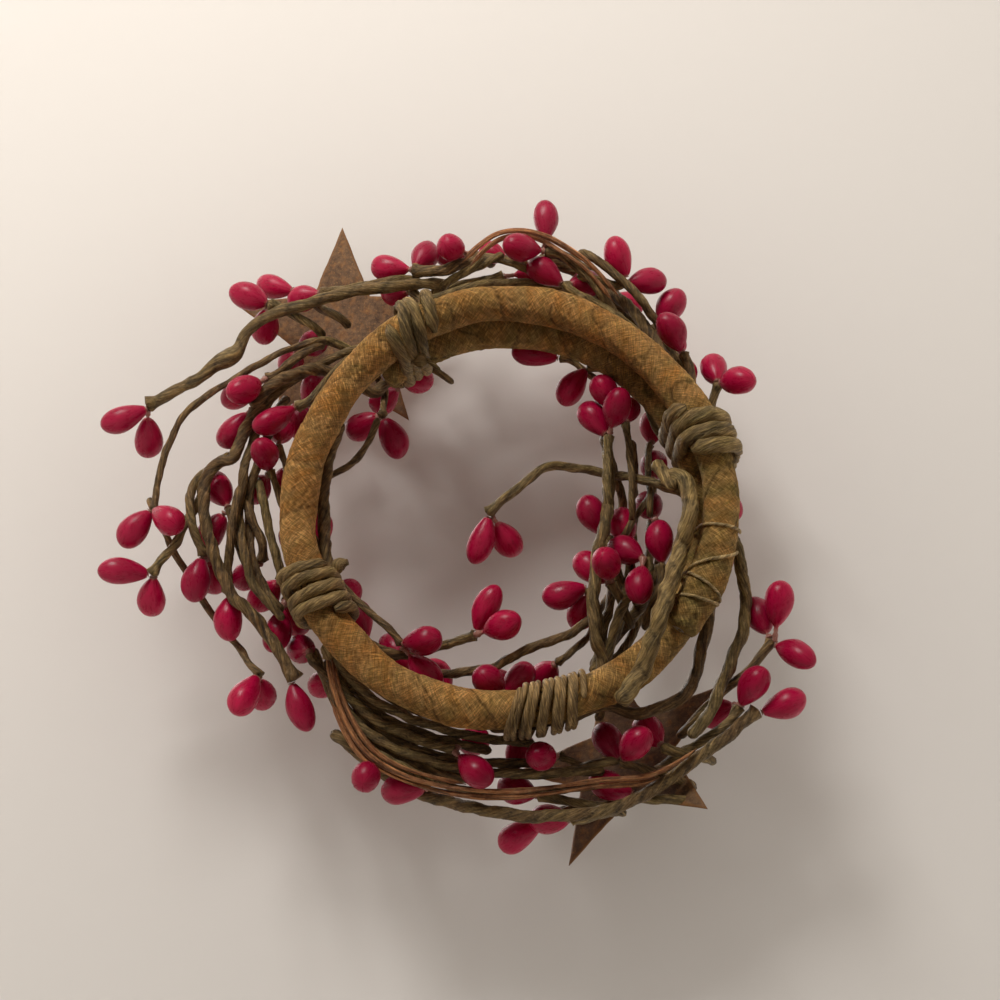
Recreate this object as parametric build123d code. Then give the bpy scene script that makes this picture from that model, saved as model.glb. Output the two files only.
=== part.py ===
from build123d import *
import math
import os
import numpy as np

os.makedirs("parts", exist_ok=True)

# Candle opening and hoop, in millimetres. The hoop is a paper-wrapped rope, bent into nearly one and a half turns.
candle_opening = 89.0
hoop_thickness = 8.8
hoop_wire_thickness = 3.0
hoop_inset = 2.6
hoop_facets = 12
core_facets = 6
hoop_step = 13.0

# Running gap between pieces that touch on the real ring, and the depth of the saw cuts that overrun a face.
fit = 0.3
overrun = 5.0

# Twigs: wires wrapped in crepe paper, and the knots of paper at their tips.
thick_twig = 3.0
twig = 2.3
thin_twig = 1.8
twig_facets = 6
thin_twig_facets = 5
wrap_twig_thickness = 4.2
short_cord_thickness = 3.6

# Berries as length and width of the body, then the fine wire that holds each of them.
long_berry = (11.4, 6.3)
full_berry = (10.4, 6.9)
short_berry = (9.0, 6.7)
small_berry = (7.8, 5.7)
berry_wire = 0.9
berry_wire_shortest = 0.4
berry_wire_longest = 4.0
berry_facets = 6
berry_centre_share = 0.53
berry_profile_shares = [(0.0, 0.24), (0.28, 0.72), (0.56, 1.0), (0.84, 0.76), (1.0, 0.3)]

# Ties: cord thickness and the clear space between two turns. The fine string is wound wide apart.
right_tie_cord = 3.2
top_left_tie_cord = 3.0
left_tie_cord = 2.8
bottom_tie_cord = 1.7
string_thickness = 0.8
string_pitch = 7.0
turn_gap = 0.55
cord_facets = 6
chords_per_half_turn = 5
flat_cut_share = 0.1

# Raffia and tin stars.
raffia_thickness = 1.2
raffia_facets = 4
star_reach = 30.0
star_waist_share = 0.42
star_sheet = 0.6
star_points = 5
star_grid = 1.2

# The ring was traced from below, from a steady distance, with its top leaning back.
sight_distance = 400.0
lean_angle = 16.3
view_centre_px = (508.9, 492.9)
hoop_width_px = 429.4

hoop_radius = hoop_thickness / 2
hoop_line_radius = candle_opening / 2 + hoop_radius
px_per_length = hoop_width_px / (2 * hoop_line_radius)
lean_sine = math.sin(math.radians(lean_angle))
lean_cosine = math.cos(math.radians(lean_angle))
eye = np.array([0, sight_distance * lean_sine, -sight_distance * lean_cosine])
up = np.array([0, 0, 1.0])


# Tracing: a picture place and a height give a point of the model.
def place(px, py, height):
    across = (px - view_centre_px[0]) / px_per_length
    down = (py - view_centre_px[1]) / px_per_length
    depth_of_height = sight_distance + height * lean_cosine
    y = (down * depth_of_height - sight_distance * height * lean_sine) / (
        sight_distance * lean_cosine + down * lean_sine)
    depth = height * lean_cosine - y * lean_sine
    x = across * (sight_distance + depth) / sight_distance
    return np.array([x, y, height])


def sight_line(px, py):
    near = place(px, py, 0)
    direction = near - eye
    return eye, direction / np.linalg.norm(direction)


def unit(vector):
    return vector / np.linalg.norm(vector)


# The pile holds what is already in place as round-ended rods, so that the next piece is laid clear of it.
class Pile:
    def __init__(self):
        self.starts = np.zeros((0, 3))
        self.ends = np.zeros((0, 3))
        self.radii = np.zeros(0)

    def add(self, start, end, radius):
        self.starts = np.vstack([self.starts, start])
        self.ends = np.vstack([self.ends, end])
        self.radii = np.append(self.radii, radius)

    def add_line(self, points, radius):
        for start, end in zip(points, points[1:]):
            self.add(start, end, radius)

    def around(self, points, reach, left_out=()):
        low = np.min(points, axis=0) - reach
        high = np.max(points, axis=0) + reach
        widest = self.radii[:, None]
        lowest = np.minimum(self.starts, self.ends) - widest
        highest = np.maximum(self.starts, self.ends) + widest
        chosen = ((highest > low) & (lowest < high)).all(axis=1)
        chosen[list(left_out)] = False
        part = Pile()
        part.starts, part.ends, part.radii = self.starts[chosen], self.ends[chosen], self.radii[chosen]
        return part

    def shortfall(self, points, radius):
        if len(self.radii) == 0:
            return np.full(len(points), -math.inf)
        along = self.ends - self.starts
        offset = points[:, None, :] - self.starts[None, :, :]
        share = np.einsum("ijk,jk->ij", offset, along) / np.einsum("jk,jk->j", along, along)
        offset -= np.clip(share, 0, 1)[:, :, None] * along[None, :, :]
        gap = np.sqrt(np.einsum("ijk,ijk->ij", offset, offset))
        return (self.radii + fit - gap).max(axis=1) + radius


pile = Pile()
samples_per_run = 12
lay_rounds = 120
lay_reach = 15.0
slot_lead = 2.5
least_hold_share = 0.2
steepest_slope = 0.5
tight = fit / 5


def run_samples(start, end, count=samples_per_run):
    shares = np.linspace(0, 1, count)
    return start + shares[:, None] * (end - start), shares


# A twig is pushed back along the line of sight, run by run, until it lies behind what is in front of it. The one
# twig that lies in front of the hoop is pushed the other way.
def lay_back(points, fixed, radius, left_out=(), way=1):
    points = [np.array(point, dtype=float) for point in points]
    around = pile.around(points, lay_reach, left_out)
    for _ in range(lay_rounds):
        worst = 0
        for index in range(len(points) - 1):
            if fixed[index] and fixed[index + 1]:
                continue
            samples, shares = run_samples(points[index], points[index + 1])
            short = around.shortfall(samples, radius)
            most = int(short.argmax())
            if short[most] <= tight:
                continue
            worst = max(worst, short[most])
            weights = [(index, 1 - shares[most]), (index + 1, shares[most])]
            weights = [(at, weight) for at, weight in weights if not fixed[at] and weight > least_hold_share]
            if not weights:
                continue
            total = sum(weight * weight for _, weight in weights)
            for at, weight in weights:
                away = points[at] - eye
                lift = min(short[most] * weight / total, radius)
                points[at] = points[at] + away * lift / away[2] * way
                if points[at][2] < radius + fit:
                    points[at] = points[at] + away * (radius + fit - points[at][2]) / away[2]
        if way > 0:
            ease_slopes(points, fixed)
        if worst == 0:
            return points, 0
    return points, worst


# A point far behind its neighbours draws them back with it, so that the twig stays a gentle curve.
def ease_slopes(points, fixed):
    pairs = list(zip(range(len(points) - 1), range(1, len(points))))
    for one, other in pairs + [(b, a) for a, b in reversed(pairs)]:
        run = np.linalg.norm((points[one] - points[other])[:2])
        lift = points[one][2] - points[other][2] - steepest_slope * run
        if lift > 0 and not fixed[other]:
            away = points[other] - eye
            points[other] = points[other] + away * lift / away[2]


# The hoop's line runs from its ragged lower right end, up the right side, round once and on behind itself.
hoop_start_angle = 38.0
hoop_end_angle = -492.0
full_turn = 360.0

right_tie_angle = -20.0
top_left_tie_angle = -118.0
left_tie_angle = -206.0
bottom_tie_angle = -280.0
string_angle = 15.0
string_turns = 3
raffia_level = -0.5


def resting_height(cord):
    return hoop_radius + fit + cord / 2 + cord / 2 - flat_cut_share * cord


upper_height = resting_height(right_tie_cord) + hoop_thickness + fit
hoop_heights = [
    (hoop_start_angle, resting_height(right_tie_cord)),
    (right_tie_angle, resting_height(right_tie_cord)),
    (top_left_tie_angle, resting_height(top_left_tie_cord)),
    (left_tie_angle, resting_height(left_tie_cord)),
    (bottom_tie_angle, resting_height(bottom_tie_cord)),
    (hoop_start_angle - full_turn, upper_height),
    (hoop_end_angle, upper_height),
]
hoop_bulge_shares = [(38, 0.0), (-10, 0.2), (-30, -0.2), (-60, -0.1), (-75, 0.2), (-100, 0.3), (-125, 0.0),
                     (-145, -0.4), (-165, -0.3), (-185, 0.1), (-230, 0.3), (-255, 0.2), (-275, -0.1),
                     (-290, -0.3), (-322, -0.5), (-383, -1.0), (-492, -1.0)]


def between(table, angle):
    for (a, low), (b, high) in zip(table, table[1:]):
        if b <= angle <= a:
            return low + (high - low) * (a - angle) / (a - b)
    return table[0][1] if angle > table[0][0] else table[-1][1]


def hoop_point(angle):
    radius = hoop_line_radius + hoop_inset * between(hoop_bulge_shares, angle)
    turned = math.radians(angle)
    return np.array([radius * math.cos(turned), radius * math.sin(turned), between(hoop_heights, angle)])


hoop_steps = round(math.radians(hoop_start_angle - hoop_end_angle) * hoop_line_radius / hoop_step)


def hoop_line():
    span = hoop_end_angle - hoop_start_angle
    return [hoop_point(hoop_start_angle + span * step / hoop_steps) for step in range(hoop_steps + 1)]


# A place on the hoop's own straight runs.
def strand_point(angle):
    span = hoop_end_angle - hoop_start_angle
    at = min(max((angle - hoop_start_angle) / span * hoop_steps, 0), hoop_steps - 1e-6)
    before = int(at)
    ends = [hoop_point(hoop_start_angle + span * step / hoop_steps) for step in (before, before + 1)]
    return ends[0] + (at - before) * (ends[1] - ends[0])


# Faceted pieces.
def tube(points, thickness, facets):
    path = Polyline(*[tuple(point) for point in points])
    section = Plane(origin=path @ 0, z_dir=path % 0) * RegularPolygon(thickness / 2, facets)
    return sweep(section, path=path, transition=Transition.RIGHT)


def polygon_face(corners):
    return Face(Wire.make_polygon([tuple(corner) for corner in corners], close=True))


def closed_skin(rings):
    faces = [polygon_face(rings[0][::-1]), polygon_face(rings[-1])]
    for ring, following in zip(rings, rings[1:]):
        count = len(ring)
        for k in range(count):
            after = (k + 1) % count
            faces.append(polygon_face([ring[k], ring[after], following[after], following[k]]))
    return Solid(Shell(faces))


def ring_about(centre, direction, radius, facets):
    frame = Plane(origin=tuple(centre), z_dir=tuple(direction))
    x_dir = np.array(tuple(frame.x_dir))
    y_dir = np.array(tuple(frame.y_dir))
    turns = [2 * math.pi * k / facets for k in range(facets)]
    return [centre + radius * (math.cos(turn) * x_dir + math.sin(turn) * y_dir) for turn in turns]


def berry_solid(root, direction, wire_length, length, width):
    stations = [(0, berry_wire / 2)]
    for length_share, width_share in berry_profile_shares:
        stations.append((wire_length + length_share * length, width_share * width / 2))
    rings = [ring_about(root + direction * at, direction, radius, berry_facets) for at, radius in stations]
    return closed_skin(rings)


# Base hoop: the wrapped rope with a bent wire inside it.
def base_hoop():
    line = hoop_line()
    path = Polyline(*[tuple(point) for point in line])
    outline = RegularPolygon(hoop_radius, hoop_facets)
    bore = RegularPolygon(hoop_wire_thickness / 2 + fit, core_facets)
    section = Plane(origin=path @ 0, z_dir=path % 0) * (outline - bore)
    rope = sweep(section, path=path, transition=Transition.RIGHT)
    wire = tube(line, hoop_wire_thickness, core_facets)
    pile.add_line(line, hoop_radius)
    return rope, wire


# Ties: one cord wound round the hoop's lower strand and whatever lies behind it.
def winding_reach(cord):
    return (hoop_radius + fit + cord / 2) / math.cos(math.pi / chords_per_half_turn / 2)


def winding_line(angle, turns, cord, pitch, load):
    reach = winding_reach(cord)
    chord = math.pi / chords_per_half_turn
    leaning = load > 0 and np.linalg.norm(strands_rise(angle)) > 0
    arc = chords_per_half_turn + 1
    stops = 2 * arc + (1 if leaning else 0)
    span = math.degrees(pitch * turns / hoop_line_radius)
    whole = round(turns * stops)
    points = []
    for stop in range(whole + 1):
        at = angle + span / 2 - span * stop / whole
        low = strand_point(at)
        top = low + strands_rise(at)
        outward = unit(np.array([low[0], low[1], 0]))
        on_turn = stop % stops
        if on_turn < arc:
            turned, centre = math.pi + chord * on_turn, low
        elif on_turn < 2 * arc:
            turned, centre = chord * (on_turn - arc), top + up * load
        else:
            turned, centre = math.pi, top
        points.append(centre + reach * (math.cos(turned) * outward + math.sin(turned) * up))
    return points


def turn_pitch(cord):
    return (cord + turn_gap) * hoop_line_radius / (hoop_line_radius - hoop_inset - winding_reach(cord))


def least_gap(points, cord, turns):
    runs = len(points) - 1
    away = math.ceil(runs / turns / 2)
    least = math.inf
    for first in range(runs):
        samples, _ = run_samples(points[first], points[first + 1])
        for second in range(first + away, runs):
            others, _ = run_samples(points[second], points[second + 1])
            gaps = np.linalg.norm(samples[:, None, :] - others[None, :, :], axis=2)
            least = min(least, gaps.min() - cord)
    return least


def wound_tie(name, angle, turns, cord, pitch, load, flat):
    line = winding_line(angle, turns, cord, pitch, load)
    pile.add_line(line, cord / 2)
    print(name, "turns", turns, "least gap to itself", round(least_gap(line, cord, turns), 2))
    solid = tube(line, cord, cord_facets)
    if flat:
        floor = Box(4 * hoop_line_radius, 4 * hoop_line_radius, overrun, align=(Align.CENTER, Align.CENTER, Align.MAX))
        solid = solid - floor
    return solid


# Twigs pass through a tie above the strands that it holds, three, two and one on each other.
slot_pitch = (thick_twig + twig) / 2 + fit
slot_runs = 3
slot_places_share = [(-1, 0), (0, 0), (1, 0), (-0.5, 0.87), (0.5, 0.87), (0, 1.74)]
load_of_three_share = 1.65
load_of_six_share = 2.75


def strands_rise(at):
    if at <= hoop_end_angle + full_turn or at > hoop_start_angle:
        return np.array([0, 0, 0])
    return strand_point(at - full_turn) - strand_point(at)


ties = {
    "right_tie": (right_tie_angle, 3, right_tie_cord, turn_pitch(right_tie_cord), load_of_three_share),
    "top_left_tie": (top_left_tie_angle, 3, top_left_tie_cord, turn_pitch(top_left_tie_cord), load_of_three_share),
    "left_tie": (left_tie_angle, 4, left_tie_cord, turn_pitch(left_tie_cord), load_of_six_share),
    "bottom_tie": (bottom_tie_angle, 7, bottom_tie_cord, turn_pitch(bottom_tie_cord), load_of_three_share),
}


def slot_line(tie_name, slot):
    angle, turns, cord, pitch, _ = ties[tie_name]
    half_span = math.degrees(((pitch * turns + cord) / 2 + slot_lead) / hoop_line_radius)
    aside, higher = slot_places_share[slot]
    line = []
    for stop in range(slot_runs + 1):
        at = angle + half_span * (1 - 2 * stop / slot_runs)
        low = strand_point(at)
        outward = unit(np.array([low[0], low[1], 0]))
        above = hoop_radius + fit + thick_twig / 2 + higher * slot_pitch
        line.append(low + strands_rise(at) + up * above + outward * aside * slot_pitch)
    return line


slot_rods = {}


def keep_slots_free():
    for branches in sprays.values():
        for thickness, level, route, berries in branches:
            for stop in route:
                if stop[0] in ties:
                    before = len(pile.radii)
                    pile.add_line(slot_line(*stop), thickness / 2)
                    slot_rods[stop] = range(before, len(pile.radii))


# Twigs and their berries.
first_level = upper_height - hoop_thickness + hoop_radius + twig


def level_height(level):
    return first_level + level * twig


def routed(route, level):
    points, fixed = [], []
    for index, stop in enumerate(route):
        if stop[0] in ties:
            line = slot_line(*stop)
            if points:
                turned = np.linalg.norm(line[0] - points[-1]) > np.linalg.norm(line[-1] - points[-1])
            else:
                following = place(*route[index + 1][:2], level_height(level))
                turned = np.linalg.norm(line[0] - following) < np.linalg.norm(line[-1] - following)
            points += line[::-1] if turned else line
            fixed += [True] * len(line)
        else:
            own_level = stop[2] if len(stop) > 2 else level
            points.append(place(stop[0], stop[1], level_height(own_level)))
            fixed.append(False)
    return points, fixed


def lay_twig(name, thickness, level, route, way=1):
    points, fixed = routed(route, level)
    own_slots = [rod for stop in route if stop in slot_rods for rod in slot_rods[stop]]
    points, left = lay_back(points, fixed, thickness / 2, own_slots, way)
    if left > fit:
        print("crowded twig", name, "short by", round(left - fit, 2), "near", route[0])
    heading = unit(points[-1] - points[-2])
    pile.add_line(points[:-1] + [points[-1] - heading * thickness * tip_inset_share], thickness / 2)
    return points, heading


# A berry is looked for at its place, then in rings round it, on a short wire first.
tip_inset_share = 0.3
nudge_rings_px = (0, 2.5, 5, 8, 11, 15, 20)
nudges_per_ring = 8
wire_steps = 4
root_shares = (0.9, 0.0, -0.8)
rod_shares = [(0.2, 0.3, 0.31), (0.47, 0.64, 0.5), (0.79, 0.81, 0.38)]
samples_per_rod = 6


def nudges_px():
    for ring in nudge_rings_px:
        for turn in range(nudges_per_ring if ring else 1):
            turned = 2 * math.pi * turn / nudges_per_ring
            yield ring * math.cos(turned), ring * math.sin(turned)


def berry_rods(root, direction, wire_length, length, width):
    base = root + direction * wire_length
    rods = [(root, base + direction * berry_wire, berry_wire / 2)]
    for start_share, end_share, width_share in rod_shares:
        start, end = (base + direction * share * length for share in (start_share, end_share))
        rods.append((start, end, width_share * width))
    return rods


# A berry's wire leaves the end of its twig, or its side where the berry hangs back along it.
def berry_roots(tip, heading, stem_radius, centre):
    ahead = np.dot(centre - tip, heading)
    sideways = centre - tip - heading * ahead
    aside = np.linalg.norm(sideways)
    if aside == 0:
        return [tip + heading * (fit + berry_wire / 2)]
    if ahead < 0:
        return [tip + sideways / aside * (stem_radius + berry_wire / 2 + tight)]
    return [tip + heading * (fit + berry_wire / 2) + sideways / max(aside, fit) * share * (stem_radius - berry_wire / 4)
            for share in root_shares]


def berry_aims(tip, heading, stem_radius, px, py, length):
    aims = []
    origin, sight = sight_line(px, py)
    middle = origin + sight * np.dot(tip - origin, sight)
    miss = np.linalg.norm(middle - tip)
    for step in range(wire_steps + 1):
        longest = berry_wire_shortest + (berry_wire_longest - berry_wire_shortest) * step / wire_steps
        reach = longest + berry_centre_share * length
        half = math.sqrt(max(reach * reach - miss * miss, 0))
        for sign in (1, -1):
            centre = middle + sight * half * sign
            for root in berry_roots(tip, heading, stem_radius, centre):
                wire = np.linalg.norm(centre - root) - berry_centre_share * length
                wire = min(max(wire, berry_wire_shortest), longest)
                aims.append((root, unit(centre - root), wire, sign))
    return aims


def berry_shortfall(aims, length, width, others, others_than_stem):
    all_rods = [berry_rods(*aim[:3], length, width) for aim in aims]
    worst = np.full(len(aims), -math.inf)
    for index in range(len(all_rods[0])):
        samples = [run_samples(start, end, samples_per_rod)[0] for start, end, _ in (rods[index] for rods in all_rods)]
        radius = all_rods[0][index][2]
        rest = others_than_stem if index == 0 else others
        short = rest.shortfall(np.concatenate(samples), radius).reshape(len(aims), -1).max(axis=1)
        low = np.array([min(rods[index][0][2], rods[index][1][2]) for rods in all_rods])
        worst = np.maximum(worst, np.maximum(short, np.where(low < radius, radius, short)))
    return worst, all_rods


def hang_berry(name, tip, heading, stem_radius, berry, stem_rods):
    (length, width), px, py = berry[:3]
    toward = len(berry) > 3
    best = None
    target = np.array([tip, tip + heading])
    others = pile.around(target, 2 * length + berry_wire_longest)
    others_than_stem = pile.around(target, 2 * length + berry_wire_longest, stem_rods)
    for dx, dy in nudges_px():
        aims = berry_aims(tip, heading, stem_radius, px + dx, py + dy, length)
        if toward:
            aims.sort(key=lambda aim: aim[3])
        shorts, all_rods = berry_shortfall(aims, length, width, others, others_than_stem)
        free = np.flatnonzero(shorts <= tight)
        chosen = int(free[0]) if len(free) else int(shorts.argmin())
        if best is None or shorts[chosen] < best[0] - tight:
            best = (shorts[chosen], aims[chosen], all_rods[chosen])
        if best[0] <= tight:
            break
    short, aim, rods = best
    if short > fit:
        print("crowded berry", name, px, py, "short by", round(short - fit, 2))
    for start, end, radius in rods:
        pile.add(start, end, radius)
    return berry_solid(*aim[:3], length, width)


def grow_spray(name, branches):
    stems, fruit = [], []
    for thickness, level, route, berries in branches:
        before = len(pile.radii)
        points, heading = lay_twig(name, thickness, level, route)
        stem_rods = range(before, len(pile.radii))
        stems.append(tube(points, thickness, thin_twig_facets if thickness == thin_twig else twig_facets))
        for berry in berries:
            fruit.append(hang_berry(name, points[-1], heading, thickness / 2, berry, stem_rods))
    export_step(Compound(children=stems), f"parts/{name}_twigs.step")
    if fruit:
        export_step(Compound(children=fruit), f"parts/{name}_berries.step")


# Tin stars: a flat five-pointed plate, pushed back along the line of sight until it lies against the twigs.
def star_outline():
    corners = []
    for corner in range(2 * star_points):
        reach = star_reach * (star_waist_share if corner % 2 else 1)
        turned = math.pi * corner / star_points
        corners.append((reach * math.cos(turned), reach * math.sin(turned)))
    return corners


def star_samples():
    corners = star_outline()
    samples = []
    for (ax, ay), (bx, by) in zip(corners, corners[1:] + corners[:1]):
        steps = math.ceil(star_reach / star_grid)
        for outer in range(steps + 1):
            for inner in range(outer + 1):
                share, aside = outer / steps, inner / steps
                samples.append(((share - aside) * np.array([ax, ay]) + aside * np.array([bx, by])))
    return np.array(samples)


def lay_star(name, px, py, level, across, down):
    centre = place(px, py, level_height(level))
    across, down = unit(across), unit(down)
    samples = star_samples()
    offsets = samples[:, :1] * across + samples[:, 1:] * down
    away = unit(centre - eye)
    for _ in range(lay_rounds):
        around = pile.around(centre + offsets, star_sheet)
        short = around.shortfall(centre + offsets, star_sheet / 2).max()
        if short <= tight:
            break
        centre = centre + away * max(short, fit) / 2
    print(name, "lies at", np.round(centre, 1), "short by", round(float(short), 2))
    plate = extrude(Polygon(*star_outline(), align=None), amount=star_sheet / 2, both=True)
    return Plane(origin=tuple(centre), x_dir=tuple(across), z_dir=tuple(np.cross(across, down))) * plate


# Traced routes in picture places, front ones first, each with its twig, level, stops and the berries at its tip.
near = "near"

wrap_twig_px = [(690, 496, -2.6), (690, 515, -2.2), (682, 547, -2.4),
                (672, 577, -2.5), (663, 607, -2.6), (654, 638, -2.8), (643, 667, -3.4), (631, 688, -4.0),
                (619, 703, -4.4)]
short_cord_px = [(655, 462, -0.6), (666, 476, -1.6), (676, 489, -2.4)]

raffia_lower_px = [
    [(326, 655), (334, 691), (347, 725), (366, 753), (392, 771), (425, 783), (465, 790), (510, 792), (558, 787),
     (600, 781), (640, 778), (664, 770), (682, 760), (697, 749)],
    [(331, 657), (340, 692), (353, 722), (371, 748), (396, 765), (430, 777), (466, 785)],
    [(330, 700), (345, 733), (364, 759), (392, 776), (425, 788), (465, 796), (510, 798), (556, 793), (598, 787),
     (638, 784), (660, 778)],
]
raffia_upper_px = [
    [(462, 262), (478, 246), (498, 233), (522, 230), (546, 236), (568, 248), (588, 262), (604, 278), (620, 297)],
    [(470, 266), (484, 250), (502, 238), (524, 235), (544, 241), (564, 253), (584, 267), (599, 283), (613, 301)],
]

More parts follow.
